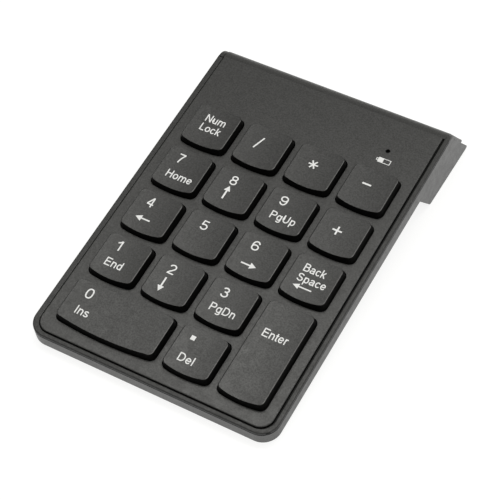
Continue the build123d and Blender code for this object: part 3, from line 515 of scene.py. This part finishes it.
def jacket():
    """Shrink-wrapped battery sleeve: a dark body with a broad orange band across it and a
    narrow pale line to the left of the band."""
    g = Nodes("battery_sleeve")
    x = g.row_x()
    folds = g.noise(scale=0.8, detail=3, rough=0.5, vec=g.stretched((0.15, 1, 1)))
    fine = g.noise(scale=7.0, detail=2)
    body = g.shade((0.030, 0.045, 0.070, 1), g.vary(folds, to=(0.9, 1.08)))
    band, line = (
        g.times(g.span(x, rise, smooth=False), g.span(x, fall, FALL, smooth=False))
        for rise, fall in (((1.0, 1.15), (9.85, 10.0)), ((-0.55, -0.45), (0.35, 0.45))))
    shaded = g.mix(band, body, (0.55, 0.33, 0.10, 1))
    shaded = g.mix(line, shaded, (0.62, 0.62, 0.60, 1))
    return g.set(colour=shaded, rough=g.vary(fine, to=(0.22, 0.32)), metal=0.35, coat=0.5,
                 coat_rough=0.15, normal=g.bump(folds, strength=0.15, depth=0.03))


def rubber():
    """Porous black rubber, dusty and rubbed pale at its edges."""
    g = Nodes("foot_rubber")
    pore = g.voronoi(scale=5.0)
    dust = g.noise(scale=1.6, detail=4, rough=0.65)
    edge, normal = g.edge(radius=0.2)
    shaded = g.shade((0.016, 0.016, 0.017, 1), g.vary(dust, to=(0.85, 1.35)))
    dusty = g.times(g.span(dust, (0.58, 0.75)), 0.35)
    shaded = g.mix(dusty, shaded, (0.09, 0.087, 0.08, 1))
    shaded = g.mix(g.times(edge, 0.25), shaded, (0.08, 0.08, 0.078, 1))
    return g.set(colour=shaded, rough=g.vary(dust, to=(0.72, 0.88)),
                 normal=g.bump(pore, strength=0.4, depth=0.03, normal=normal))


def label():
    """Matt film label with a printed hairline frame and blank boxes."""
    g = Nodes("label_print")
    lo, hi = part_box("rating_label")
    # centre and half sizes in millimetres, from corners in metres
    cx, cy = (lo.x + hi.x) * 500, (lo.y + hi.y) * 500
    half_x, half_y = (hi.x - lo.x) * 500, (hi.y - lo.y) * 500
    dx = g.math("ABSOLUTE", g.minus(g.row_x(), cx))
    dy = g.math("ABSOLUTE", g.minus(g.row_y(), cy))
    inset = g.math("MINIMUM", g.minus(half_x, dx), g.minus(half_y, dy))
    border = g.times(g.span(inset, (0.9, 0.98)), g.span(inset, (1.15, 1.23), FALL))
    within = (1.0, 1.1)  # where the rules start, in from the label's edge
    bar_line = g.times(g.span(dy, (0.10, 0.18), FALL), g.span(inset, within))
    from_third = g.math("ABSOLUTE", g.minus(dx, half_x / 3))
    posts = g.times(g.span(from_third, (0.08, 0.16), FALL), g.span(inset, within))
    lines = g.math("MAXIMUM", border, g.math("MAXIMUM", bar_line, posts))
    fibre = g.noise(scale=5.0, detail=3, rough=0.6)
    shaded = g.shade((0.50, 0.50, 0.49, 1), g.vary(fibre, to=(0.95, 1.04)))
    shaded = g.mix(g.times(lines, 0.85), shaded, (0.03, 0.03, 0.03, 1))
    return g.set(colour=shaded, rough=g.vary(fibre, to=(0.42, 0.52)),
                 normal=g.bump(fibre, strength=0.12, depth=0.01))


SILICONE, INK = silicone(), ink()

# ------------------------------------------------------------------ materials on the pieces
SLOTS = {
    "deck_plastic": DECK,
    "key_plastic": KEY,
    "rim_plastic": RIM,
    "case_plastic": CASE,
    "silicone": SILICONE,
    "film": film(),
    "steel": metal("zinc_sheet", (0.56, 0.57, 0.58, 1), rough=0.34, brushed=(0.25, 3, 3)),
    "wire_steel": metal("spring_wire", (0.50, 0.50, 0.51, 1), rough=0.22, brushed=(4, 0.4, 4)),
    "contact_metal": metal(
        "nickel_contact", (0.66, 0.64, 0.58, 1), rough=0.2, brushed=(0.6, 2, 2)),
    "board": pcb(),
    "component_black": package(),
    "component_metal": metal(
        "metal_can", (0.62, 0.62, 0.62, 1), rough=0.26, brushed=(2, 0.5, 2)),
    "led_lens": lens("led_epoxy", (0.75, 0.80, 0.72, 1), rough=0.12),
    "pipe_plastic": lens("smoked_pipe", (0.010, 0.010, 0.010, 1), rough=0.16),
    "battery_jacket": jacket(),
    "foot_rubber": rubber(),
    "label_film": label(),
    "screw_steel": metal(
        "black_zinc_screw", (0.11, 0.11, 0.115, 1), rough=0.34, brushed=(2, 2, 0.6),
        strength=0.2),
}
# pieces whose material is chosen by name, whatever their slot
NAMED = {
    "switch_slider": KNOB,
    "battery_door": DOOR,
    "receiver_shell": BLACK_MOULD,
    "tail_clamp": BLACK_MOULD,
    "switch_lever": BLACK_MOULD,
}
# name prefix and slot, for pieces the record gives no slot; the first match counts
PREFIXES = [
    ("keycap_", "key_plastic"), ("top_cover", "deck_plastic"), ("mid_frame", "rim_plastic"),
    ("bottom_case", "case_plastic"), ("stabiliser_", "wire_steel"),
    ("dome_sheet", "silicone"), ("membrane_", "film"), ("support_plate", "steel"),
    ("circuit_board", "board"), ("radio_chip", "component_black"),
    ("crystal", "component_metal"), ("light_pipe", "pipe_plastic"), ("led", "led_lens"),
    ("power_switch", "component_metal"), ("switch_", "component_black"),
    ("battery_front", "battery_jacket"), ("battery_rear", "battery_jacket"),
    ("battery_", "contact_metal"), ("receiver_plug", "component_metal"),
    ("front_feet", "foot_rubber"), ("rear_feet", "foot_rubber"),
    ("rating_label", "label_film"), ("deck_screws", "screw_steel"),
    ("case_screws", "screw_steel"), ("board_screws", "screw_steel"),
]


def recorded_slots():
    """The slots the record names; it may hold no list of nodes, or entries without a slot."""
    entries = frame["record"].get("nodes", [])
    if not isinstance(entries, list):
        return {}
    return {
        entry.get("name"): entry["material_slot"]
        for entry in entries if isinstance(entry, dict) and "material_slot" in entry
    }


def dress_pieces():
    recorded = recorded_slots()
    for name, piece in nodes.items():
        material = NAMED.get(name)
        if material is None:
            slot = recorded.get(name) or next(s for p, s in PREFIXES if name.startswith(p))
            material = SLOTS[slot]
        if not piece.material_slots:
            piece.data.materials.append(material)
        for material_slot in piece.material_slots:
            material_slot.material = material


dress_pieces()


# ------------------------------------------------------------------ flat outlines
def strip(path, width, closed=False):
    """A path thickened to a list of quads, with mitred corners and square ends."""
    points = [Vector(q) for q in path]
    n = len(points)
    left, right = [], []
    for i in range(n):
        before = points[i] - points[i - 1] if (i or closed) else None
        after = points[(i + 1) % n] - points[i] if (i < n - 1 or closed) else None
        before = before.normalized() if before is not None else after.normalized()
        after = after.normalized() if after is not None else before
        mitre = Vector((-before.y, before.x)) + Vector((-after.y, after.x))
        mitre = mitre / max(mitre.length_squared, 0.35) * 2
        left.append(points[i] + mitre * width / 2)
        right.append(points[i] - mitre * width / 2)
    count = n if closed else n - 1
    return [[right[i], right[(i + 1) % n], left[(i + 1) % n], left[i]] for i in range(count)]


def bar(x0, y0, x1, y1):
    return [[Vector((x0, y0)), Vector((x1, y0)), Vector((x1, y1)), Vector((x0, y1))]]


def arrow(tail, tip, head, stroke):
    """A straight arrow; head is its head's length and width."""
    tail, tip = Vector(tail), Vector(tip)
    ahead = (tip - tail).normalized()
    aside = Vector((-ahead.y, ahead.x))
    length, width = head
    neck = tip - ahead * length
    barbs = [tip, neck + aside * width / 2, neck - aside * width / 2]
    return strip([tail, neck + ahead * length * 0.3], stroke) + [barbs]


def star(cx, cy, radius, stroke):
    """Three crossed strokes."""
    polys = []
    for k in range(3):
        angle = math.radians(60 * k)
        arm = Vector((math.cos(angle), math.sin(angle))) * radius
        polys += strip([Vector((cx, cy)) - arm, Vector((cx, cy)) + arm], stroke)
    return polys


def ring(cx, cy, radius, n=28):
    angles = [2 * math.pi * i / n for i in range(n)]
    return [Vector((cx + radius * math.cos(a), cy + radius * math.sin(a))) for a in angles]


def rounded(x0, x1, y0, y1, r, n=8):
    """A rectangle with rounded corners, n steps to each."""
    corners = (
        (x1 - r, y1 - r, 0), (x0 + r, y1 - r, 90), (x0 + r, y0 + r, 180), (x1 - r, y0 + r, 270))
    points = []
    for cx, cy, start in corners:
        for i in range(n + 1):
            a = math.radians(start + 90 * i / n)
            points.append(Vector((cx + r * math.cos(a), cy + r * math.sin(a))))
    return points


def inside(p, poly):
    """Whether a point lies in a polygon, whichever way round it runs."""
    hit, j = False, len(poly) - 1
    for i in range(len(poly)):
        a, b = poly[i], poly[j]
        if (a.y > p.y) != (b.y > p.y) and p.x < (b.x - a.x) * (p.y - a.y) / (b.y - a.y) + a.x:
            hit = not hit
        j = i
    return hit


def union(polys, cut=()):
    """Overlapping polygons joined to one flat triangulated shape, less the polygons in cut."""
    verts, edges = [], []
    for poly in [*polys, *cut]:
        first, n = len(verts), len(poly)
        verts += poly
        edges += [(first + i, first + (i + 1) % n) for i in range(n)]
    points, _, triangles, _, _, _ = delaunay_2d_cdt(verts, edges, [], 0, 1e-5, True)
    keep = []
    for triangle in triangles:
        middle = sum((points[i] for i in triangle), Vector((0, 0))) / len(triangle)
        if any(inside(middle, q) for q in polys) and not any(inside(middle, q) for q in cut):
            keep.append(triangle)
    return points, keep


# ------------------------------------------------------------------ meshes
def add_object(name, bm, material, smooth=False):
    mesh = bpy.data.meshes.new(name)
    bm.to_mesh(mesh)
    bm.free()
    if smooth:
        mesh.shade_smooth()
    mesh.materials.append(material)
    ob = bpy.data.objects.new(name, mesh)
    bpy.context.scene.collection.objects.link(ob)
    return ob


def solid(name, flat, place, low, high, material, body, dissolve=True):
    """A flat shape given thickness: place(x, y, h) puts a point, and h is low or high for its
    two sides."""
    points, triangles = flat
    bm = bmesh.new()
    verts = [bm.verts.new((p.x, p.y, 0)) for p in points]
    for triangle in triangles:
        try:
            bm.faces.new([verts[i] for i in triangle])
        except ValueError:
            pass  # a repeated or degenerate triangle is left out
    bmesh.ops.delete(bm, geom=[v for v in bm.verts if not v.link_faces], context="VERTS")
    bmesh.ops.remove_doubles(bm, verts=bm.verts, dist=1e-5)
    if dissolve:
        bmesh.ops.dissolve_limit(bm, angle_limit=0.01, verts=bm.verts, edges=bm.edges)
        bmesh.ops.triangulate(bm, faces=[f for f in bm.faces if len(f.verts) > 4])
    bmesh.ops.recalc_face_normals(bm, faces=bm.faces)
    if bm.faces and sum(f.normal.z * f.calc_area() for f in bm.faces) < 0:
        bmesh.ops.reverse_faces(bm, faces=bm.faces)
    grown = bmesh.ops.extrude_face_region(bm, geom=list(bm.faces))
    raised = {q for q in grown["geom"] if isinstance(q, bmesh.types.BMVert)}
    for v in bm.verts:
        v.co = place(v.co.x, v.co.y, high if v in raised else low)
    bmesh.ops.recalc_face_normals(bm, faces=bm.faces)
    ob = add_object(name, bm, material)
    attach(ob, body)
    return ob


def lathe(name, profile, x, y, material, body, count=36):
    """A closed profile of (radius, height) turned about a deck-normal axis."""
    bm = bmesh.new()
    turns = [2 * math.pi * i / count for i in range(count)]
    rings = []
    for r, z in profile:
        if r < 1e-6:
            rings.append([bm.verts.new(at(x, y, z))])
        else:
            rings.append([
                bm.verts.new(at(x + r * math.cos(a), y + r * math.sin(a), z)) for a in turns])
    for a, b in zip(rings, rings[1:]):
        for i in range(count):
            j = (i + 1) % count
            quad = [a[i % len(a)], a[j % len(a)], b[j % len(b)], b[i % len(b)]]
            quad = list(dict.fromkeys(quad))  # a triangle at a pole
            if len(quad) > 2:
                bm.faces.new(quad)
    bmesh.ops.recalc_face_normals(bm, faces=bm.faces)
    ob = add_object(name, bm, material, smooth=True)
    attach(ob, body)
    return ob


# ------------------------------------------------------------------ a plain stroke alphabet
STROKE = 0.134  # stroke width for a capital of height 1
DIGIT_STROKE = 0.126
HALF = STROKE / 2
SMALL = 0.73  # small letters' height
TOP = 1 - HALF  # the line of a capital's topmost stroke
SMALL_TOP = SMALL - HALF
SMALL_MID = SMALL / 2
BOWL = SMALL_MID - HALF  # a small round letter's upright radius


def arc(cx, cy, rx, ry, a0, a1, n=None):
    """Points on an ellipse from angle a0 to a1, in degrees."""
    n = n or max(3, int(abs(a1 - a0) / 15))
    angles = [math.radians(a0 + (a1 - a0) * i / n) for i in range(n + 1)]
    return [(cx + rx * math.cos(a), cy + ry * math.sin(a)) for a in angles]


def oval(cx, cy, rx, ry, power=2.1, n=28):
    """A superellipse; being a tuple, it is a closed stroke."""
    points = []
    for i in range(n):
        a = 2 * math.pi * i / n
        c, s = math.cos(a), math.sin(a)
        points.append((cx + rx * math.copysign(abs(c) ** (2 / power), c),
                       cy + ry * math.copysign(abs(s) ** (2 / power), s)))
    return tuple(points)


def stem(x, foot=0, head=1):
    return [(x, foot), (x, head)]


# character: (advance, strokes); an open stroke is a list of points, a closed one a tuple
GLYPHS = {
    "0": (0.777, [oval(0.388, 0.5, 0.265, 0.5 - HALF, 2.4)]),
    "1": (0.777, [stem(0.45), [(0.16, 0.725), (0.27, 0.775), (0.36, 0.85), (0.435, 0.985)]]),
    "2": (0.777, [
        arc(0.385, 0.70, 0.255, 0.23, 172, 0)
        + [(0.62, 0.62), (0.56, 0.52), (0.42, 0.375), (0.25, 0.235), (0.14, HALF + 0.02)],
        [(0.085, HALF), (0.69, HALF)]]),
    "3": (0.777, [
        arc(0.37, 0.735, 0.225, 0.195, 160, -90) + [(0.30, 0.54)],
        arc(0.375, 0.30, 0.265, 0.24, 90, -165)]),
    "4": (0.777, [stem(0.53), [(0.06, 0.29), (0.72, 0.29)], [(0.50, 0.965), (0.09, 0.31)]]),
    "5": (0.777, [
        [(0.64, TOP), (0.20, TOP)], [(0.215, 0.99), (0.145, 0.475)],
        [(0.135, 0.50)] + arc(0.37, 0.325, 0.275, 0.255, 125, -160)]),
    "6": (0.777, [
        oval(0.40, 0.315, 0.265, 0.245),
        [(0.135, 0.34), (0.132, 0.52)] + arc(0.405, 0.555, 0.273, 0.372, 170, 25)]),
    "7": (0.777, [
        [(0.09, TOP), (0.68, TOP)],
        [(0.645, TOP - 0.01), (0.50, 0.70), (0.38, 0.42), (0.315, 0.18), (0.29, 0)]]),
    "8": (0.777, [oval(0.388, 0.735, 0.222, 0.195), oval(0.388, 0.30, 0.262, 0.23)]),
    "9": (0.777, [
        oval(0.377, 0.685, 0.265, 0.245),
        [(0.642, 0.66), (0.645, 0.48)] + arc(0.372, 0.445, 0.273, 0.372, -10, -155)]),
    "N": (1.008, [stem(0.18), stem(0.83), [(0.18, 0.985), (0.83, 0.015)]]),
    "L": (0.777, [stem(0.175), [(0.175, HALF), (0.71, HALF)]]),
    "H": (1.008, [stem(0.18), stem(0.83), [(0.18, 0.53), (0.83, 0.53)]]),
    "P": (0.931, [
        stem(0.18),
        [(0.18, TOP), (0.52, TOP)] + arc(0.56, 0.70, 0.235, 0.228, 88, -88) + [(0.18, 0.47)]]),
    "U": (1.008, [
        [(0.18, 1), (0.18, 0.40)] + arc(0.504, 0.40, 0.324, 0.327, 180, 360)
        + [(0.828, 0.42), (0.828, 1)]]),
    "D": (1.008, [
        stem(0.18),
        [(0.18, TOP), (0.46, TOP)] + arc(0.48, 0.5, 0.385, 0.5 - HALF, 85, -85)
        + [(0.46, HALF), (0.18, HALF)]]),
    "E": (0.931, [
        stem(0.18), [(0.18, TOP), (0.84, TOP)], [(0.18, 0.525), (0.80, 0.525)],
        [(0.18, HALF), (0.86, HALF)]]),
    "I": (0.388, [stem(0.194)]),
    "B": (0.931, [
        stem(0.18),
        [(0.18, TOP), (0.54, TOP)] + arc(0.55, 0.735, 0.20, 0.193, 85, -90) + [(0.18, 0.54)],
        [(0.18, 0.54), (0.56, 0.54)] + arc(0.575, 0.305, 0.235, 0.233, 88, -88)
        + [(0.54, HALF), (0.18, HALF)]]),
    "S": (0.931, [
        arc(0.47, 0.735, 0.285, 0.195, 15, 180, 12)
        + [(0.20, 0.66), (0.28, 0.58), (0.46, 0.525), (0.66, 0.46)]
        + arc(0.47, 0.28, 0.305, 0.21, 25, -175, 14)]),
    "u": (0.777, [
        [(0.155, SMALL), (0.155, 0.27)] + arc(0.365, 0.27, 0.21, 0.20, 180, 300),
        [(0.40, HALF), (0.54, 0.12), (0.605, 0.25)],
        stem(0.62, head=SMALL)]),
    "m": (1.163, [
        stem(0.155, head=SMALL),
        [(0.165, 0.50)] + arc(0.385, 0.46, 0.20, 0.20, 150, 0) + [(0.585, 0)],
        [(0.60, 0.50)] + arc(0.805, 0.46, 0.20, 0.20, 150, 0) + [(1.005, 0)]]),
    "n": (0.777, [
        stem(0.155, head=SMALL),
        [(0.165, 0.48)] + arc(0.39, 0.44, 0.225, 0.22, 150, 0) + [(0.615, 0)]]),
    "r": (0.465, [
        stem(0.155, head=SMALL),
        [(0.165, 0.46), (0.21, 0.585), (0.30, SMALL_TOP), (0.46, SMALL_TOP - 0.02)]]),
    "o": (0.777, [oval(0.388, SMALL_MID, 0.265, BOWL)]),
    "c": (0.698, [arc(0.375, SMALL_MID, 0.255, BOWL, 38, 322, 20)]),
    "e": (0.777, [
        [(0.125, SMALL_MID - 0.005), (0.625, SMALL_MID - 0.005)],
        arc(0.385, SMALL_MID, 0.258, BOWL, 0, 325, 22)]),
    "a": (0.777, [
        arc(0.375, 0.50, 0.225, 0.165, 165, 0, 11) + [(0.60, 0.16), (0.66, 0.0)],
        [(0.60, 0.42), (0.40, 0.385)] + arc(0.315, 0.215, 0.195, 0.15, 95, 285, 10)
        + [(0.48, 0.10), (0.595, 0.24)]]),
    "d": (0.777, [stem(0.62), oval(0.372, SMALL_MID, 0.245, BOWL)]),
    "p": (0.777, [stem(0.155, -0.27, SMALL), oval(0.405, SMALL_MID, 0.245, BOWL)]),
    "g": (0.777, [
        [(0.62, SMALL), (0.62, 0.0)] + arc(0.385, -0.03, 0.235, 0.175, 0, -150, 10),
        oval(0.372, SMALL_MID, 0.245, BOWL)]),
    "k": (0.698, [stem(0.155), [(0.155, 0.27), (0.60, SMALL)], [(0.32, 0.41), (0.64, 0)]]),
    "l": (0.310, [stem(0.155)]),
    "t": (0.388, [
        [(0.185, 0.92), (0.185, 0.17)] + arc(0.29, 0.165, 0.105, 0.10, 190, 270, 5)
        + [(0.37, HALF)],
        [(0.04, SMALL_TOP), (0.36, SMALL_TOP)]]),
    "s": (0.698, [
        arc(0.335, 0.535, 0.205, 0.130, 20, 180, 10)
        + [(0.14, 0.47), (0.22, 0.41), (0.36, 0.365), (0.49, 0.30)]
        + arc(0.335, 0.20, 0.23, 0.133, 20, -170, 12)]),
}


def word(text, left, right, base, cap):
    """A word fitted between its outer edges, whose capitals stand cap high on base."""
    run, paths = 0.0, []
    for character in text:
        advance, strokes = GLYPHS[character]
        for stroke in strokes:
            paths.append((isinstance(stroke, tuple), [(run + x, y) for x, y in stroke]))
        run += advance
    width = (DIGIT_STROKE if text.isdigit() else STROKE) * cap
    xs = [x for _, path in paths for x, _ in path]
    start = min(xs)
    stretch = (right - left - width) / (max(xs) - start)
    polys = []
    for closed, path in paths:
        placed = [(left + width / 2 + (x - start) * stretch, base + y * cap) for x, y in path]
        polys += strip(placed, width, closed)
    return polys


# ------------------------------------------------------------------ key legends
# in deck x and y; a word's numbers are its left and right edges, base line and capital height,
# a bar's its left, front, right and rear
LEGENDS = {
    "num_lock": word("Num", -11.04, -3.88, 69.94, 2.92)
    + word("Lock", -11.04, -3.66, 66.02, 2.93),
    "divide": strip([(8.72, 67.15), (10.42, 71.95)], width=0.50),
    "multiply": star(29.6, 69.32, radius=1.66, stroke=0.50),
    "minus": bar(46.88, 69.45, 49.94, 70.05),
    "7": word("7", -11.4, -8.79, 51.2, 3.7) + word("Home", -11.49, -2.26, 45.0, 2.92),
    "8": word("8", 8.54, 11.0, 51.0, 3.62)
    + arrow((9.57, 45.09), (9.57, 50.4), head=(2.05, 2.2), stroke=0.58),
    "9": word("9", 26.63, 29.2, 50.9, 3.62) + word("PgUp", 26.5, 35.18, 45.2, 2.9),
    "plus": bar(46.57, 49.63, 49.8, 50.2) + bar(47.9, 48.3, 48.47, 51.52),
    "4": word("4", -11.3, -8.6, 32.07, 3.72)
    + arrow((-6.67, 27.35), (-11.85, 27.35), head=(2.16, 2.3), stroke=0.50),
    "5": word("5", 8.63, 11.1, 31.87, 3.62),
    "6": word("6", 26.85, 29.4, 32.05, 3.7)
    + arrow((26.85, 26.63), (32.1, 26.63), head=(2.1, 2.3), stroke=0.50),
    "backspace": word("Back", 45.4, 52.87, 32.2, 2.93) + word("Space", 45.08, 54.76, 28.36, 2.9)
    + arrow((51.4, 26.54), (45.0, 26.54), head=(2.1, 2.0), stroke=0.46),
    "1": word("1", -11.5, -9.73, 13.4, 3.72) + word("End", -11.5, -5.46, 7.3, 2.92),
    "2": word("2", 7.73, 10.43, 13.07, 3.65)
    + arrow((8.9, 11.6), (8.9, 6.19), head=(2.05, 2.2), stroke=0.56),
    "3": word("3", 26.77, 29.24, 12.96, 3.65) + word("PgDn", 26.18, 34.8, 7.34, 2.9),
    "enter": word("Enter", 45.08, 53.7, 6.3, 2.95),
    "0": word("0", -10.63, -8.11, -5.86, 3.74) + word("Ins", -10.27, -5.68, -11.9, 2.95),
    "point": bar(26.5, -4.33, 27.98, -2.8) + word("Del", 26.4, 31.6, -12.2, 2.92),
}
RAY_START = 12  # height above the deck from which surfaces are sought
MISSED = 2.5  # height taken where no surface is found


def drop_on(node):
    """A placing function that lays points on a node's outer surface, seen straight down on
    the deck."""
    mesh = nodes[node].data
    tree = BVHTree.FromPolygons(
        [v.co for v in mesh.vertices], [tuple(p.vertices) for p in mesh.polygons])

    def place(x, y, h):
        hit = tree.ray_cast(at(x, y, RAY_START), -NORMAL)[0]
        base = hit if hit is not None else at(x, y, MISSED)
        return base + NORMAL * (h / 1000)

    return place


for key, polys in LEGENDS.items():
    solid("legend_" + key, union(polys), drop_on("keycap_" + key), low=-0.035, high=0.016,
          material=INK, body="key_" + key)


def battery_sign():
    """The sign in front of the indicator: an outline, filled at its left, with a hollow nub
    on its left end."""
    cx, cy = 48.55, 81.8
    width, height, line = 4.3, 1.95, 0.24
    left, right = cx - width / 2, cx + width / 2
    front, rear = cy - height / 2, cy + height / 2
    outer = bar(left, front, right, rear)
    window = bar(cx - 0.35, front + line, right - line, rear - line)
    nub = bar(left - 0.62, cy - 0.5, left + 0.05, cy + 0.5)
    hollow = bar(left - 0.40, cy - 0.28, left - 0.05, cy + 0.28)
    solid("battery_sign", union(outer + nub, window + hollow), drop_on("top_cover"),
          low=-0.03, high=0.014, material=INK, body="case")


battery_sign()

# ------------------------------------------------------------------ silicone domes
PITCH = 19.0
# column from the left, row from the front, columns wide, rows long
KEYS = {
    "num_lock": (0, 4, 1, 1), "divide": (1, 4, 1, 1), "multiply": (2, 4, 1, 1),
    "minus": (3, 4, 1, 1),
    "7": (0, 3, 1, 1), "8": (1, 3, 1, 1), "9": (2, 3, 1, 1), "plus": (3, 3, 1, 1),
    "4": (0, 2, 1, 1), "5": (1, 2, 1, 1), "6": (2, 2, 1, 1), "backspace": (3, 2, 1, 1),
    "1": (0, 1, 1, 1), "2": (1, 1, 1, 1), "3": (2, 1, 1, 1), "enter": (3, 0, 1, 2),
    "0": (0, 0, 2, 1), "point": (2, 0, 1, 1),
}


def centre(key):
    col, row, wide, long = KEYS[key]
    left, right = PITCH * col - 15.33, PITCH * (col + wide - 1) + 0.15
    front = PITCH * row - (15.9 if wide == 2 else 15.6)
    rear = PITCH * (row + long - 1) - 0.10
    return (left + right) / 2, (front + rear) / 2


SHEET_LOW, SHEET_HIGH = -4.35, -4.05
DOME_HOLE_RADIUS = 2.55
# small round holes between the keys: columns and rows from the first crossing
CROSSING, CROSSING_RADIUS = 1.9, 1.1
CROSSINGS = [(0, 1), (1, 1), (2, 1), (1, 2), (0, 3), (1, 3)]
# radius and height, from the middle of the top down the outside and back up the inside
DOME = [
    (0.0, -1.06), (1.9, -1.06), (2.25, -1.10), (2.42, -1.22), (2.45, -1.45), (2.46, -1.75),
    (2.50, -2.00), (2.58, -2.35), (2.70, -2.85), (2.82, -3.35), (2.92, -3.75), (3.02, -3.98),
    (3.08, -4.06), (3.05, -4.12), (2.60, -4.12), (2.55, -4.00), (2.44, -3.70), (2.30, -3.30),
    (2.18, -2.80), (2.05, -2.35), (1.95, -2.28), (1.45, -2.26), (1.40, -2.34), (1.38, -2.68),
    (1.28, -2.74), (0.0, -2.74),
]


def dome_sheet():
    outline = rounded(-16.6, 58.4, -16.8, 77.3, r=2.0)
    holes = [
        ring(CROSSING + PITCH * col, CROSSING + PITCH * row, CROSSING_RADIUS)
        for col, row in CROSSINGS]
    holes += [ring(*centre(key), DOME_HOLE_RADIUS) for key in KEYS]
    sheet = solid("dome_sheet_base", union([outline], holes), at, SHEET_LOW, SHEET_HIGH,
                  SILICONE, "case", dissolve=False)
    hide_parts("dome_sheet")


def key_dome(key):
    """A dome under its key, turned from its profile and given a mesh of its own."""
    x, y = centre(key)
    dome = lathe("dome_" + key, DOME, x, y, SILICONE, "case")
    tuple(at(x, y, SHEET_LOW))
    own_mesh(dome)


dome_sheet()
for key in KEYS:
    key_dome(key)


# ------------------------------------------------------------------ stage, light and camera
LIGHT_COLOUR = (1.0, 0.998, 0.960)


def floor_material():
    """A glowing pale floor, clear from below so that the underside can be looked at."""
    g = Nodes("studio_floor")
    pale = g.shade((0.22, 0.22, 0.22, 1),
                   g.vary(g.noise(scale=0.004, detail=2), to=(0.995, 1.005)))
    g.set(colour=pale, rough=0.85, spec=0.05, glow=g.rgb((1, 1, 0.997, 1)), glow_strength=0.84)
    side_seen = g.new("NewGeometry")
    clear = g.new("BsdfTransparent")
    blend = g.new("MixShader")
    put(blend.inputs[0], side_seen.outputs["Backfacing"])
    put(blend.inputs[1], g.shader.outputs[0])
    put(blend.inputs[2], clear.outputs[0])
    put(g.out.inputs[0], blend.outputs[0])
    return g.material


def studio_floor():
    material = floor_material()
    bm = bmesh.new()
    bmesh.ops.create_grid(bm, x_segments=2, y_segments=2, size=6.0)
    add_object("studio_floor", bm, material)


def studio_world():
    """Surrounding light that grows toward the right and above."""
    brightest = Vector((0.571, -0.133, 0.58)).normalized()
    ramp = {"From Min": -0.251, "From Max": 1.394, "To Min": 0.283, "To Max": 1.083}
    world = bpy.data.worlds.new("studio")
    bpy.context.scene.world = world
    world.use_nodes = True
    tree = world.node_tree
    tree.nodes.clear()
    output = tree.nodes.new("ShaderNodeOutputWorld")
    background = tree.nodes.new("ShaderNodeBackground")
    coordinates = tree.nodes.new("ShaderNodeTexCoord")
    toward = tree.nodes.new("ShaderNodeVectorMath")
    toward.operation = "DOT_PRODUCT"
    toward.inputs[1].default_value = brightest
    put(toward.inputs[0], coordinates.outputs["Generated"])
    strength = tree.nodes.new("ShaderNodeMapRange")
    for socket, value in ramp.items():
        strength.inputs[socket].default_value = value
    put(strength.inputs["Value"], toward.outputs["Value"])
    put(background.inputs["Strength"], strength.outputs["Result"])
    background.inputs["Color"].default_value = (*LIGHT_COLOUR, 1)
    put(output.inputs[0], background.outputs[0])


def overhead_light():
    """A long softbox above the rear, aimed at the product."""
    where, target = Vector((-0.081, 0.222, 1.1)), Vector((0, 0, 0.01))
    light = bpy.data.lights.new("overhead", "AREA")
    light.shape = "RECTANGLE"
    light.size, light.size_y = 1.15, 0.222
    light.energy = 6.3
    light.color = LIGHT_COLOUR
    ob = bpy.data.objects.new("overhead", light)
    ob.location = where
    ob.rotation_euler = (target - where).to_track_quat("-Z", "Y").to_euler()
    bpy.context.scene.collection.objects.link(ob)


def photo_camera():
    """A long lens from the front right, above the deck."""
    place = at(197.59, -202.93, 429.20)
    # the camera's own x, y and z as deck-frame directions
    axes = (
        (0.87164756, 0.48317305, -0.08230633),
        (-0.36223157, 0.74816521, 0.55591106),
        (0.33017997, -0.45474457, 0.82715691),
    )
    data = bpy.data.cameras.new("photo_view")
    data.sensor_width = 36.0
    data.lens = 120.02
    data.clip_start, data.clip_end = 0.01, 20
    camera = bpy.data.objects.new("photo_view", data)
    basis = Matrix([along(*axis) for axis in axes]).transposed().to_4x4()
    basis.translation = place
    camera.matrix_world = basis
    bpy.context.scene.collection.objects.link(camera)
    bpy.context.scene.camera = camera


studio_floor()
studio_world()
overhead_light()
photo_camera()
bpy.context.scene.view_settings.view_transform = "Standard"
bpy.context.scene.view_settings.look = "None"
